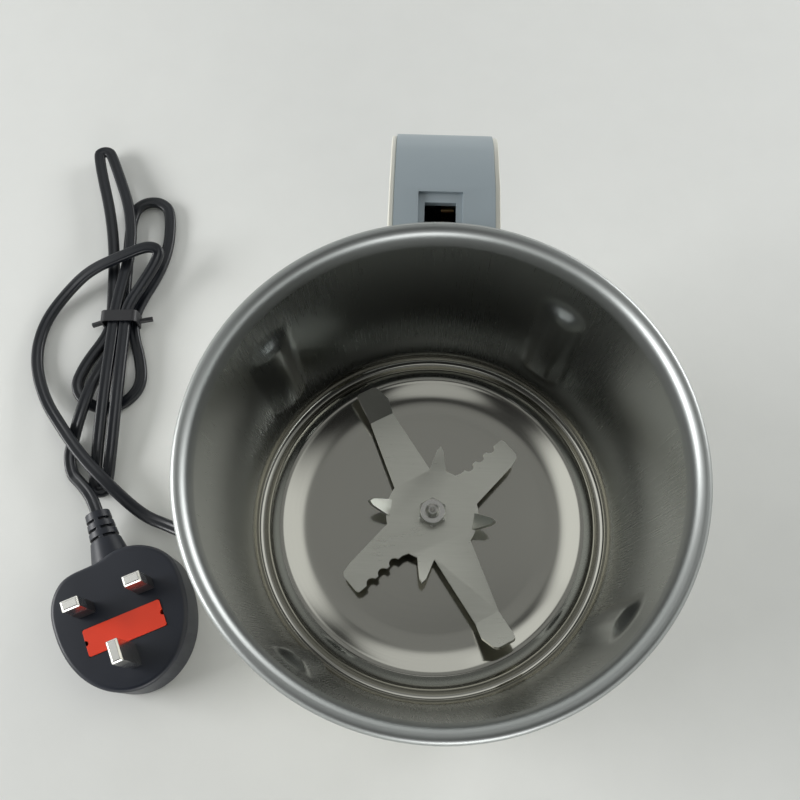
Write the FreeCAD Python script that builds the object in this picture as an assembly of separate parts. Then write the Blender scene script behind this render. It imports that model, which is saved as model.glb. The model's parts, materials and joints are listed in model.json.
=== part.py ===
import FreeCAD, Part
import math
import os

# Electric grain mill: a steel milling cup over a universal motor in a plastic housing,
# with a hollow mug handle that hides the lid switch, and a tied mains lead with a plug.
# Millimetres, +Z up, the table at z = 0, the handle towards +Y.
# Everything is worked out from the motor axis, and the finished shapes are then moved
# in Y, so that the origin lies under the middle of the mill's own box.

os.makedirs("parts", exist_ok=True)

Vec = FreeCAD.Vector
X_AXIS = Vec(1, 0, 0)
Y_AXIS = Vec(0, 1, 0)
Z_AXIS = Vec(0, 0, 1)

# Clearances
running_clearance = 0.05    # a shaft in its bearing, or a slide in its guide, per side
fit_clearance = 0.1         # parts of one body that slip together, per side
free_gap = 0.3              # between surfaces that move past each other

# Heights, as a chain of pieces from the table up
foot_height = 3.0
base_plate_t = 3.0
fan_floor_gap = 2.0
fan_height = 6.0
fan_top_gap = 0.8
lower_bearing_len = 5.2
lower_bracket_t = 3.0
brush_room = 6.0
commutator_len = 10.0
commutator_to_stack = 10.0
stack_len = 30.0
coil_head = 6.0
rotor_head = 7.0
rotor_head_gap = 1.0
upper_bearing_len = 9.0
upper_bracket_t = 3.0
sleeve_height = 7.2
sheet_t = 0.8               # steel of the milling cup
disc_rise = 0.4             # flat middle of the cup floor above its lowest ring
chamber_depth = 62.6        # rim top down to the lowest ring of the floor

plate_top_z = foot_height + base_plate_t
fan_z = plate_top_z + fan_floor_gap
lower_hub_z = fan_z + fan_height + fan_top_gap
lower_bracket_top = lower_hub_z + lower_bearing_len
commutator_z = lower_bracket_top + brush_room
stack_z = commutator_z + commutator_len + commutator_to_stack
stack_top = stack_z + stack_len
upper_hub_z = stack_top + rotor_head + rotor_head_gap
upper_plate_z = upper_hub_z + upper_bearing_len
upper_plate_top = upper_plate_z + upper_bracket_t
disc_z = upper_plate_top + sleeve_height + sheet_t
floor_z = disc_z - disc_rise
rim_top = floor_z + chamber_depth

# Milling cup
rim_r = 58.0
rim_roll = 2.8              # height of the rolled edge
lip_r = 54.9                # inner edge of the sloping lip
neck_r = 54.8               # straight neck that a lid drops into
neck_depth = 3.4
ledge_w = 0.9
floor_seam_r = 49.0
seam_round = 2.6
groove_r = 46.8
shoulder_r = 43.6
shoulder_h = 2.5
shoulder_foot_r = 41.0
disc_r = 35.0
dent_count = 4
dent_azimuth = 54.0
dent_round = 6.0
dent_depth = 2.3
dent_low = 12.0             # above the floor ring
dent_high = 46.0

# Housing
housing_top_r = 57.0
housing_foot_r = 53.5
housing_wall = 2.0
housing_bottom_z = 2.4
foot_edge = 2.5
boss_r = 3.6
boss_ring_r = 46.0
boss_h = 5.5
post_r = 3.8
post_ring_r = 46.0
post_h = 26.0
screw_r = 1.5               # M3
screw_head_r = 2.9
screw_head_h = 2.0

# Base plate and feet
foot_r = 6.0
foot_ring_r = 41.0
foot_stud_r = 2.0
vent_count = 9
vent_w = 3.0
vent_inner_r = 12.0
vent_outer_r = 30.0
base_screw_sink = 1.4       # counterbore for the heads, in the base plate

# Shaft, blade and seal
shaft_r = 3.0
stud_r = 2.0                # M4 end that carries the blade
seal_h = 3.5
seal_top_gap = 0.6
sleeve_flange_r = 12.0
sleeve_neck_r = 6.0
sleeve_top_rise = 3.0       # sleeve above the flat of the floor
sleeve_nut_af = 17.0
sleeve_nut_h = 2.4
seal_r = 4.9
spacer_r = 5.0
spacer_h = 1.9
blade_t = 1.2
blade_hub_r = 12.6
blade_turn = 118.9          # azimuth of the first long arm
serrated_turn = -75.6       # serrated arm, from the long arm
blade_nut_af = 7.0
blade_nut_h = 3.2
stud_end_rise = 1.6
tab_reach = 19.4
tab_w = 5.6

# Motor
rotor_r = 16.2
slot_count = 12
slot_w = 2.4
slot_depth = 6.0
slot_lining = 0.2           # insulation between a winding and its slot
stator_bore_r = 17.0
stator_r = 32.0
coil_x_in = 9.0
coil_x_out = 24.0
coil_y_in = 15.0
coil_y_out = 21.0
motor_screw_y = 27.0
motor_post_r = 5.0
commutator_r = 10.5
brush_w = 6.0
brush_h = 5.0
brush_len = 11.0
brush_holder_wall = 1.0
brush_holder_start = 14.0
brush_holder_end = 31.0
brush_holder_back = 1.5
brush_spring_r = 1.9
brush_spring_wire = 0.5
fan_r = 21.0
fan_blade_count = 10
lower_bracket_r = 37.0
upper_bracket_r = 50.0
bearing_r = 7.0

# Handle, as an outline in the plane through the motor axis
handle_half_w = 12.5
handle_wall = 2.2
handle_back_y = 97.5
handle_top_drop = 5.2       # flat top below the cup rim
crease_y = 71.3
slope_deg = 15.0
top_corner_r = 18.0
low_corner_r = 16.0
handle_bottom_z = 28.0
grip_depth = 19.0
finger_gap_w = 17.5
upper_arm_h = 31.0
lower_arm_h = 22.0
gap_corner_r = 7.0
cover_t = 1.35
cover_inset = 0.5
handle_screw_y = 88.0
handle_boss_r = 3.2
handle_screw_len = 14.0

# Lid switch
slot_x = -1.0
slot_w_x = 7.8
slot_far_y = 66.6
recess_w = 11.0
recess_far_y = 69.3
recess_t = 0.8
slot_near_y = 57.6
plunger_travel = 4.0
plunger_x = -2.9
plunger_w = 3.4
plunger_y = 60.6
plunger_len_y = 3.8
plunger_below_top = 3.5
lever_hinge_y = 74.0
lever_reach = 14.0
lever_w = 3.4
lever_t = 0.4
lever_x = 1.3
lever_pin_r = 0.5
switch_w = 6.4
switch_len = 20.0
switch_h = 10.0
button_from_hinge = 5.0
button_w = 2.0
stem_r = 1.0
plunger_spring_r = 1.7
plunger_spring_wire = 0.5
guide_t = 1.5

# Mains lead: gland, clamp and terminal block
lead_r = 2.0
lead_azimuth = 173.0
lead_z = 12.0
gland_end_r = 80.0
gland_root_r = 5.0
gland_tip_r = 3.1
gland_flange_r = 6.5
gland_flange_t = 1.6
gland_inner_r = 5.7
gland_groove_count = 4
groove_pitch = 3.6          # ring grooves of the gland and of the plug's boot
groove_w = 1.2
terminal_r = 38.0
clamp_r = 44.0              # cord clamp, from the motor axis
clamp_screw_side = 6.1
clamp_screw_r = 1.0
clamp_bar_t = 2.2
clamp_lift = 0.4            # underside of the clamp bar above the lead

# Plug with three flat pins, lying on its back
plug_x = -112.84
plug_y = -14.14
plug_yaw = 25.0             # direction from the left pin to the right pin
plug_t = 20.0
pin_spacing = 22.2
earth_offset = 22.2
line_pin = (6.35, 4.0, 17.7)
earth_pin = (4.0, 8.0, 22.7)
pin_root = 8.0
sleeve_len = 9.0
sleeve_t = 0.5
boot_start = 10.0
boot_end = 37.0
boot_root_r = 7.0
boot_tip_r = 4.7
boot_z = 9.0
boot_groove_count = 5
carrier_w = 29.0
carrier_d = 10.0
carrier_y = -11.5
carrier_lid_t = 2.0
fuse_r = 3.15
fuse_len = 25.4

# Tied hank of the lead: tie centre, and the direction in which the upper loops point
tie_x = -133.0
tie_y = 105.6
tie_up_deg = 93.0
tie_len = 5.0
tie_wall = 0.7
tie_end_r = 1.1             # each twisted end
tie_end_len = 5.5
strand_pitch = 4.8
low_strand_z = 3.0
top_strand_z = 7.0
flat_z = 2.1                # a strand lying on the table
waist_half = 5.0            # strands run straight this far each side of the tie

frame_shift = Vec(0, -(handle_back_y - rim_r) / 2, 0)


def box(x0, x1, y0, y1, z0, z1):
    return Part.makeBox(x1 - x0, y1 - y0, z1 - z0, Vec(x0, y0, z0))


def rod(radius, z0, z1, x=0.0, y=0.0):
    return Part.makeCylinder(radius, z1 - z0, Vec(x, y, z0), Z_AXIS)


def tube(outer_r, inner_r, z0, z1, x=0.0, y=0.0):
    return rod(outer_r, z0, z1, x, y).cut(rod(inner_r, z0 - 1, z1 + 1, x, y))


def around(shape, azimuth):
    copy = shape.copy()
    copy.rotate(Vec(0, 0, 0), Z_AXIS, azimuth)
    return copy


def ring_of(shape, count, first=0.0):
    return [around(shape, first + 360.0 * k / count) for k in range(count)]


def fuse_all(shapes):
    return shapes[0].fuse(shapes[1:]).removeSplitter()


def cut_all(shape, tools):
    return shape.cut(Part.makeCompound(tools))


def hexagon(across_flats, z0, z1):
    corner = across_flats / math.sqrt(3)
    points = [Vec(corner * math.cos(math.radians(60 * k + 30)),
                  corner * math.sin(math.radians(60 * k + 30)), z0) for k in range(7)]
    return Part.Face(Part.makePolygon(points)).extrude(Vec(0, 0, z1 - z0))


def two_sided(inner, outer, side):
    """The span from inner to outer on the plus or the minus side, in rising order."""
    return sorted((side * inner, side * outer))


def outline(steps):
    """Closed face from points; a step of two points is an arc through the first to the second."""
    edges = []
    last = steps[0]
    for step in steps[1:] + [steps[0]]:
        if isinstance(step, tuple):
            edges.append(Part.Arc(last, step[0], step[1]).toShape())
            last = step[1]
        elif last.distanceToPoint(step) > 1e-6:
            edges.append(Part.LineSegment(last, step).toShape())
            last = step
    return Part.Face(Part.Wire(edges))


def turned(steps):
    return outline([rz_step(step) for step in steps]).revolve(Vec(0, 0, 0), Z_AXIS, 360)


def rz_step(step):
    if isinstance(step[0], tuple):
        return tuple(Vec(r, 0, z) for r, z in step)
    return Vec(step[0], 0, step[1])


def save(name, shape):
    placed = shape.copy()
    placed.translate(frame_shift)
    placed.exportStep("parts/" + name + ".step")
    print(name, "solids", len(shape.Solids), "volume", round(shape.Volume, 1), "valid", shape.isValid())


# Milling cup
def cup_space(skin):
    """Inside of the cup, or with the sheet's thickness added its outside."""
    ledge_z = rim_top - neck_depth - 0.3
    seam_z = floor_z + seam_round
    disc_edge = disc_z - skin
    return turned([
        (0, rim_top),
        (neck_r + skin, rim_top),
        (neck_r + skin, ledge_z + 0.3 - skin),
        (neck_r - ledge_w + skin, ledge_z - skin),
        (floor_seam_r + skin, seam_z),
        ((floor_seam_r - 0.6 + skin * 0.8, floor_z + 0.7 - skin * 0.7), (groove_r, floor_z - skin)),
        (groove_r - 0.7, floor_z + 0.3 - skin),
        ((shoulder_r, floor_z + shoulder_h - skin), (shoulder_foot_r, floor_z + 1.7 - skin)),
        ((0.5 * (shoulder_foot_r + disc_r), disc_z + 0.35 - skin), (disc_r, disc_edge)),
        (0, disc_edge),
    ])


def rolled_edge():
    low = rim_top - rim_roll
    return turned([
        (neck_r, low + 0.6),
        (neck_r, rim_top - 0.9),
        (lip_r + 0.1, rim_top - 0.7),
        (rim_r - 1.4, rim_top - 0.1),
        ((rim_r - 0.4, rim_top - 0.6), (rim_r, rim_top - 1.6)),
        (rim_r, low + 0.5),
        (rim_r - 0.6, low),
    ])


def dent_tool(radius):
    """Round-ended rod that lies along the cup wall and reaches in through it."""
    rise = chamber_depth - neck_depth - seam_round
    slope = (neck_r - ledge_w - floor_seam_r) / rise
    ends = []
    for height in (dent_low, dent_high):
        wall = floor_seam_r + slope * (height - seam_round) + sheet_t
        ends.append(Vec(wall + dent_round - dent_depth, 0, floor_z + height))
    axis = ends[1] - ends[0]
    shaft = Part.makeCylinder(radius, axis.Length, ends[0], axis)
    return shaft.fuse([Part.makeSphere(radius, end) for end in ends])


def milling_cup():
    space = cup_space(0.0)
    skin = cup_space(sheet_t)
    for number in range(dent_count):
        azimuth = dent_azimuth + 360.0 * number / dent_count
        space = space.cut(around(dent_tool(dent_round + sheet_t), azimuth))
        skin = skin.cut(around(dent_tool(dent_round), azimuth))
    cup = skin.fuse(rolled_edge()).cut(space)
    return cup.cut(rod(sleeve_neck_r + fit_clearance, disc_z - 5, disc_z + 5))


# Housing and base
def housing_radius(z):
    share = (z - housing_bottom_z) / (rim_top - housing_bottom_z)
    return housing_foot_r + (housing_top_r - housing_foot_r) * share


def housing_outside(extra=0.0):
    top = rim_top - rim_roll - free_gap
    return turned([
        (0, housing_bottom_z),
        (housing_radius(housing_bottom_z) - foot_edge + extra, housing_bottom_z),
        (housing_radius(housing_bottom_z + foot_edge) + extra, housing_bottom_z + foot_edge),
        (housing_radius(top) + extra, top),
        (0, top),
    ])


def wall_pad(radius, ring_r, z0, z1):
    """Screw boss with the web that ties it to the housing wall."""
    reach = housing_radius(z0) - housing_wall / 2
    return rod(radius, z0, z1, ring_r).fuse(box(ring_r, reach, -1.2, 1.2, z0, z1))


def screw(x, y, z_seat, z_tip, radius=screw_r, head_r=screw_head_r, head_h=screw_head_h):
    """Pan-head screw, driven upwards."""
    head = rod(head_r, z_seat - head_h, z_seat, x, y)
    return head.fuse(rod(radius, z_seat, z_tip, x, y))


def boss_spots():
    return [(boss_ring_r * math.cos(a), boss_ring_r * math.sin(a))
            for a in (math.radians(45 + 90 * k) for k in range(4))]


def post_spots():
    return [(post_ring_r * math.cos(a), post_ring_r * math.sin(a))
            for a in (math.radians(30 + 120 * k) for k in range(3))]


def foot_spots():
    return [(foot_ring_r * math.cos(a), foot_ring_r * math.sin(a))
            for a in (math.radians(45 + 90 * k) for k in range(4))]


def gap_low_z():
    return handle_bottom_z + lower_arm_h


def gap_high_z():
    return handle_top_z() - upper_arm_h


def handle_top_z():
    return rim_top - handle_top_drop


def mount_screw_spots():
    """Height and tip of the screws from inside the housing: into the lower arm, and into the rail."""
    rail_face = handle_back_y - grip_depth - finger_gap_w
    return ((gap_low_z() - 10.0, housing_top_r + 7.0), (floor_z + 8.0, rail_face - 0.8))


def housing():
    top = rim_top - rim_roll - free_gap
    hollow = turned([
        (0, housing_bottom_z - 1),
        (housing_radius(housing_bottom_z) - housing_wall, housing_bottom_z - 1),
        (housing_radius(top) - housing_wall, top + 1),
        (0, top + 1),
    ])
    shell = housing_outside().cut(hollow)
    seat = rod(neck_r + sheet_t + free_gap, rim_top - neck_depth - sheet_t - 1.0, top + 1)
    pads = ring_of(wall_pad(boss_r, boss_ring_r, upper_plate_top, upper_plate_top + boss_h), 4, 45)
    pads += ring_of(wall_pad(post_r, post_ring_r, plate_top_z, plate_top_z + post_h), 3, 30)
    body = fuse_all([shell] + pads).cut(seat)
    holes = [rod(screw_r + running_clearance, upper_plate_top - 1, upper_plate_top + boss_h - 1, x, y)
             for x, y in boss_spots()]
    holes += [rod(screw_r + running_clearance, plate_top_z - 1, plate_top_z + 12, x, y)
              for x, y in post_spots()]
    holes += [Part.makeCylinder(screw_r + fit_clearance, 12, Vec(0, 48, z), Y_AXIS)
              for z, tip in mount_screw_spots()]
    holes.append(along_lead(lead_axis_rod(gland_root_r + fit_clearance, 48, 60)))
    return cut_all(body, holes)


def base_plate():
    disc_edge = housing_radius(housing_bottom_z) - housing_wall - fit_clearance
    slot = box(vent_inner_r, vent_outer_r, -vent_w / 2, vent_w / 2, 0, plate_top_z + 1)
    near, far = clamp_r - 2, clamp_r + 2
    saddle = along_lead(box(near, far, -8, 8, plate_top_z, lead_z - lead_r - fit_clearance))
    clamp_low = lead_z + lead_r + clamp_lift
    ears = [along_lead(box(near, far, side - 1.9, side + 1.9, plate_top_z, clamp_low))
            for side in (-clamp_screw_side, clamp_screw_side)]
    plate = fuse_all([rod(disc_edge, foot_height, plate_top_z), saddle] + ears)
    cuts = ring_of(slot, vent_count, 20)
    for x, y in post_spots():
        cuts.append(rod(screw_r + fit_clearance, 0, plate_top_z + 1, x, y))
        cuts.append(rod(screw_head_r + free_gap, 0, foot_height + base_screw_sink, x, y))
    for x, y in foot_spots():
        cuts.append(rod(foot_stud_r + fit_clearance, 0, plate_top_z + 1, x, y))
    for spot in clamp_screw_spots():
        cuts.append(rod(clamp_screw_r + running_clearance, plate_top_z + 1, lead_z + 5, spot.x, spot.y))
    return cut_all(plate, cuts)


def rubber_feet():
    feet = []
    for x, y in foot_spots():
        pad = rod(foot_r, 0, foot_height, x, y)
        stud = rod(foot_stud_r, foot_height, plate_top_z, x, y)
        barb = Part.makeCone(foot_stud_r + 0.9, foot_stud_r - 0.4, 2.0, Vec(x, y, plate_top_z), Z_AXIS)
        feet.append(fuse_all([pad, stud, barb]))
    return Part.makeCompound(feet)


def base_screws():
    seat = foot_height + base_screw_sink
    tip = plate_top_z + 11
    return Part.makeCompound([screw(x, y, seat, tip, head_h=1.3) for x, y in post_spots()])


# Mains lead, gland and clamp
def along_lead(shape):
    return around(shape, lead_azimuth)


def lead_axis_rod(radius, x0, x1):
    """Round bar on the lead's axis where it leaves the housing, before it is turned into place."""
    return Part.makeCylinder(radius, x1 - x0, Vec(x0, 0, lead_z), X_AXIS)


def cord_gland():
    """Rubber strain relief: a collar held in the wall and a long taper outside."""
    wall_r = housing_radius(lead_z)
    inner_x = wall_r - housing_wall - 0.8
    inner = lead_axis_rod(gland_inner_r, inner_x - gland_flange_t, inner_x)
    neck = lead_axis_rod(gland_root_r, inner_x - 0.1, wall_r + 0.5)
    collar_x = wall_r + 0.35
    taper_x = collar_x + gland_flange_t
    collar = lead_axis_rod(gland_flange_r, collar_x, taper_x)
    taper = Part.makeCone(gland_root_r, gland_tip_r, gland_end_r - taper_x, Vec(taper_x, 0, lead_z), X_AXIS)
    bore = lead_axis_rod(lead_r + running_clearance, 30, gland_end_r + 5)
    body = fuse_all([inner, neck, collar, taper]).cut(bore)
    ring_cut = tube(gland_root_r + 2, gland_tip_r + 0.2, 0, groove_w)
    ring_cut.rotate(Vec(0, 0, 0), Y_AXIS, 90)
    for number in range(gland_groove_count):
        groove = ring_cut.copy()
        groove.translate(Vec(taper_x + 5.0 + groove_pitch * number, 0, lead_z))
        body = body.cut(groove)
    return along_lead(body)


def supply_lead():
    return along_lead(lead_axis_rod(lead_r, terminal_r + fit_clearance, gland_end_r))


def clamp_screw_spots():
    return [along_lead(Part.Vertex(clamp_r, side, 0)).Point for side in (-clamp_screw_side, clamp_screw_side)]


def cord_clamp():
    low = lead_z + lead_r + clamp_lift
    bar = box(clamp_r - 2.5, clamp_r + 2.5, -8.2, 8.2, low, low + clamp_bar_t)
    pad = box(clamp_r - 2, clamp_r + 2, -2.5, 2.5, lead_z + lead_r + running_clearance, low)
    holes = [rod(clamp_screw_r + fit_clearance, low - 1, low + 4, spot.x, spot.y)
             for spot in clamp_screw_spots()]
    return cut_all(along_lead(fuse_all([bar, pad])), holes)


def cord_clamp_screws():
    seat = lead_z + lead_r + clamp_lift + clamp_bar_t
    pieces = []
    for spot in clamp_screw_spots():
        head = rod(1.9, seat, seat + 1.4, spot.x, spot.y)
        pieces.append(head.fuse(rod(clamp_screw_r, plate_top_z + 1.5, seat, spot.x, spot.y)))
    return Part.makeCompound(pieces)


def terminal_block():
    block = box(terminal_r - 9, terminal_r, -8, 8, plate_top_z, plate_top_z + 9)
    wells = [rod(1.6, plate_top_z + 5, plate_top_z + 10, x, y)
             for x in (terminal_r - 6.7, terminal_r - 2.3) for y in (-5.2, 0, 5.2)]
    return along_lead(cut_all(block, wells))


# Shaft line
def motor_shaft():
    top = disc_z + sleeve_top_rise + seal_top_gap
    stud_top = top + spacer_h + blade_t + blade_nut_h
    body = rod(shaft_r, fan_z - 0.5, top)
    stud = rod(stud_r, top, stud_top)
    dome = Part.makeCone(stud_r, stud_r - 0.9, stud_end_rise, Vec(0, 0, stud_top), Z_AXIS)
    centre = Part.makeCone(0.1, 0.8, 0.8, Vec(0, 0, stud_top + stud_end_rise - 0.8), Z_AXIS)
    return fuse_all([body, stud, dome]).cut(centre)


def bearing_sleeve():
    flange_top = disc_z - sheet_t - running_clearance
    top = disc_z + sleeve_top_rise
    body = rod(sleeve_flange_r, upper_plate_top, flange_top).fuse(rod(sleeve_neck_r, flange_top, top))
    bore = rod(shaft_r + running_clearance, upper_plate_top - 1, top + 1)
    return body.cut(bore).cut(rod(seal_r + fit_clearance, top - seal_h, top + 1))


def sleeve_nut():
    low = disc_z + running_clearance
    nut = hexagon(sleeve_nut_af, low, low + sleeve_nut_h)
    return nut.cut(rod(sleeve_neck_r + running_clearance, low - 1, low + 5))


def shaft_seal():
    top = disc_z + sleeve_top_rise
    return tube(seal_r, shaft_r + free_gap, top - seal_h, top)


def blade_spacer():
    low = disc_z + sleeve_top_rise + seal_top_gap
    return tube(spacer_r, stud_r, low, low + spacer_h)


def blade_level():
    return disc_z + sleeve_top_rise + seal_top_gap + spacer_h


def flat_plate(points, lift=0.0):
    """Blade sheet over a closed outline, with its underside at the blade's level."""
    z = blade_level() + lift
    face = Part.Face(Part.makePolygon([Vec(x, y, z) for x, y in points + points[:1]]))
    return face.extrude(Vec(0, 0, blade_t))


def bend_up(shape, fold_x, degrees):
    """Turn the part of the blade past a fold across X upwards, about its underside."""
    shape.rotate(Vec(fold_x, 0, blade_level()), Vec(0, -1, 0), degrees)
    return shape


def long_arm():
    inner = flat_plate([(8, 6.2), (8, -5.6), (31.4, -3.5), (31.4, 3.4)])
    tip = flat_plate([(31.0, 3.4), (31.0, -3.5), (35.8, -4.1), (40.4, -2.2), (40.4, 3.7)])
    return fuse_all([inner, bend_up(tip, 31.2, 24)])


def serrated_arm():
    plate = flat_plate([(8, 5.4), (8, -6.3), (25.5, -4.6), (29.0, -3.7), (29.2, 2.9), (13.5, 3.2)])
    notches = [rod(1.5, blade_level() - 1, blade_level() + 3, 16.6 + 4.0 * k, 3.4) for k in range(3)]
    return cut_all(plate, notches)


def blade_tab(lift_deg):
    plate = flat_plate([(10.5, tab_w / 2), (10.5, -tab_w / 2), (tab_reach - 1.2, -0.9), (tab_reach, 0),
                        (tab_reach - 1.2, 0.9)])
    return bend_up(plate, 11.8, lift_deg)


def blade():
    pieces = [rod(blade_hub_r, blade_level(), blade_level() + blade_t)]
    for half in (0, 180):
        pieces.append(around(long_arm(), blade_turn + half))
        pieces.append(around(serrated_arm(), blade_turn + serrated_turn + half))
    for azimuth, lift in ((173, 38), (84, 12), (-9, 44), (-97, 10)):
        pieces.append(around(blade_tab(lift), azimuth))
    return fuse_all(pieces).cut(rod(stud_r, 0, rim_top))


def blade_nut():
    low = blade_level() + blade_t
    nut = hexagon(blade_nut_af, low, low + blade_nut_h)
    corners_cut = Part.makeCone(blade_nut_af * 0.72, blade_nut_af * 0.45, blade_nut_h + 0.2,
                                Vec(0, 0, low), Z_AXIS)
    whole_part = rod(blade_nut_af, low, low + blade_nut_h - 0.9)
    return nut.common(corners_cut.fuse(whole_part)).cut(rod(stud_r, low - 1, low + 5))


# Motor
def rotor_slots(width, depth, z0, z1):
    slot = box(rotor_r - depth, rotor_r + 1, -width / 2, width / 2, z0, z1)
    return ring_of(slot, slot_count)


def rotor_core():
    core = tube(rotor_r, shaft_r, stack_z, stack_top)
    return cut_all(core, rotor_slots(slot_w, slot_depth, stack_z - 1, stack_top + 1))


def rotor_winding():
    outer = rotor_r - 1.5
    inner = rotor_r - slot_depth
    heads = [tube(outer, shaft_r + 2.0, stack_top, stack_top + rotor_head),
             tube(outer, shaft_r + 2.0, stack_z - rotor_head, stack_z)]
    half_w = slot_w / 2 - slot_lining
    bar = box(inner + slot_lining, outer, -half_w, half_w, stack_z - 1, stack_top + 1)
    return fuse_all(heads + ring_of(bar, slot_count))


def commutator():
    ring = tube(commutator_r, shaft_r, commutator_z, commutator_z + commutator_len)
    cuts = ring_of(box(commutator_r - 1.2, commutator_r + 1, -0.3, 0.3, commutator_z - 1,
                       commutator_z + commutator_len - 2), slot_count * 2)
    return cut_all(ring, cuts)


def cooling_fan():
    disc = rod(fan_r, fan_z, fan_z + 1.2)
    hub = rod(shaft_r + 3.0, fan_z, fan_z + fan_height)
    blades = ring_of(box(shaft_r + 5.0, fan_r, -0.6, 0.6, fan_z + 0.5, fan_z + fan_height), fan_blade_count)
    return fuse_all([disc, hub] + blades).cut(rod(shaft_r, fan_z - 1, fan_z + 10))


def stator_core():
    core = tube(stator_r, stator_bore_r, stack_z, stack_top)
    cuts = []
    for side_x in (-1, 1):
        for side_y in (-1, 1):
            x0, x1 = two_sided(coil_x_in - slot_lining, coil_x_out + slot_lining, side_x)
            y0, y1 = two_sided(coil_y_in - slot_lining, coil_y_out + slot_lining, side_y)
            cuts.append(box(x0, x1, y0, y1, stack_z - 1, stack_top + 1))
    cuts += motor_screw_ways(stack_z - 1, stack_top + 1)
    return cut_all(core, cuts)


def motor_screw_ways(z0, z1):
    return [rod(stud_r + fit_clearance, z0, z1, 0, side * motor_screw_y) for side in (-1, 1)]


def field_coils():
    coils = []
    for side in (-1, 1):
        x0, x1 = two_sided(coil_x_in, coil_x_out, side)
        loop = box(x0, x1, -coil_y_out, coil_y_out, stack_z - coil_head, stack_top + coil_head)
        pole = box(x0 - 1, x1 + 1, -coil_y_in, coil_y_in, stack_z - fit_clearance, stack_top + fit_clearance)
        coils.append(loop.cut(pole).cut(rod(stator_bore_r + 0.5, stack_z - 20, stack_top + 20)))
    return Part.makeCompound(coils)


def upper_bracket():
    plate = rod(upper_bracket_r, upper_plate_z, upper_plate_top)
    hub = rod(bearing_r + 3.0, upper_hub_z, upper_plate_z)
    posts = [rod(motor_post_r, stack_top, upper_plate_z, 0, side * motor_screw_y) for side in (-1, 1)]
    low, high = upper_plate_z - 1, upper_plate_top + 1
    cuts = [rod(bearing_r, upper_hub_z - 1, upper_plate_z), rod(shaft_r + 1.0, low, high)]
    cuts += motor_screw_ways(stack_top - 1, high)
    cuts += [rod(screw_r + fit_clearance, low, high, x, y) for x, y in boss_spots()]
    cuts += ring_of(box(26, 40, -5, 5, low, high), 2)
    return cut_all(fuse_all([plate, hub] + posts), cuts)


def bracket_screws():
    tip = upper_plate_top + boss_h - 1.5
    return Part.makeCompound([screw(x, y, upper_plate_z, tip) for x, y in boss_spots()])


def lower_bracket():
    low = lower_bracket_top - lower_bracket_t
    plate = rod(lower_bracket_r, low, lower_bracket_top)
    hub = rod(bearing_r + 2.0, lower_hub_z, low)
    posts = [rod(motor_post_r, lower_bracket_top, stack_z, 0, side * motor_screw_y) for side in (-1, 1)]
    rest_top = brush_level() - brush_h / 2 - brush_holder_wall
    rests = ring_of(box(brush_holder_start, brush_holder_end - 1, -4, 4, lower_bracket_top, rest_top), 2)
    cuts = [rod(bearing_r, lower_hub_z - 1, lower_bracket_top + 1)]
    cuts += motor_screw_ways(low - 1, stack_z + 1)
    cuts += ring_of(box(12, 30, -5, 5, low - 1, lower_bracket_top + 1), 4, 45)
    return cut_all(fuse_all([plate, hub] + posts + rests), cuts)


def motor_screws():
    seat = lower_bracket_top - lower_bracket_t
    return Part.makeCompound([screw(0, side * motor_screw_y, seat, upper_plate_top, stud_r, 3.4, 2.2)
                              for side in (-1, 1)])


def bush(z0, length):
    return tube(bearing_r, shaft_r + running_clearance, z0, z0 + length)


def brush_level():
    return commutator_z + commutator_len / 2 - 1.0


def brush_parts(side):
    """Holder, carbon and spring on one side of the commutator; they lie along X."""
    z = brush_level()
    low, high = z - brush_h / 2, z + brush_h / 2
    half_w = brush_w / 2
    tip = commutator_r + free_gap
    back = brush_holder_end - brush_holder_back
    grow = brush_holder_wall + fit_clearance
    holder = box(brush_holder_start, brush_holder_end, -half_w - grow, half_w + grow,
                 low - brush_holder_wall, high + grow)
    way = box(brush_holder_start - 1, back, -half_w - fit_clearance, half_w + fit_clearance,
              low, high + fit_clearance)
    carbon = box(tip, tip + brush_len, -half_w, half_w, low, high)
    spring = coil_spring(brush_spring_r, brush_spring_wire, back - tip - brush_len, 5)
    spring.rotate(Vec(0, 0, 0), Y_AXIS, 90)
    spring.translate(Vec(tip + brush_len, 0, z))
    shapes = [holder.cut(way), carbon, spring]
    if side < 0:
        for shape in shapes:
            shape.rotate(Vec(0, 0, 0), Z_AXIS, 180)
    return shapes


def coil_spring(mean_r, wire, length, turns):
    """Coil spring along Z from z = 0, with its wire inside the given length."""
    rise = length - wire * 1.2
    helix = Part.makeHelix(rise / turns, rise, mean_r)
    helix.translate(Vec(0, 0, wire * 0.6))
    section = Part.Wire(Part.makeCircle(wire / 2, Vec(mean_r, 0, wire * 0.6), Y_AXIS))
    return Part.Wire(helix.Edges).makePipeShell([section], True, True)


def thermal_cutout():
    low = stack_top + coil_head
    return box(coil_x_out - 8, coil_x_out - 1, -6, 6, low, low + 3.4)


# Handle
def rounded_corner(cy, cz, radius, start_deg, end_deg):
    """Arc about a centre in the YZ plane, as its middle and end points."""
    middle = math.radians((start_deg + end_deg) / 2)
    end = math.radians(end_deg)
    return (Vec(0, cy + radius * math.cos(middle), cz + radius * math.sin(middle)),
            Vec(0, cy + radius * math.cos(end), cz + radius * math.sin(end)))


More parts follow.
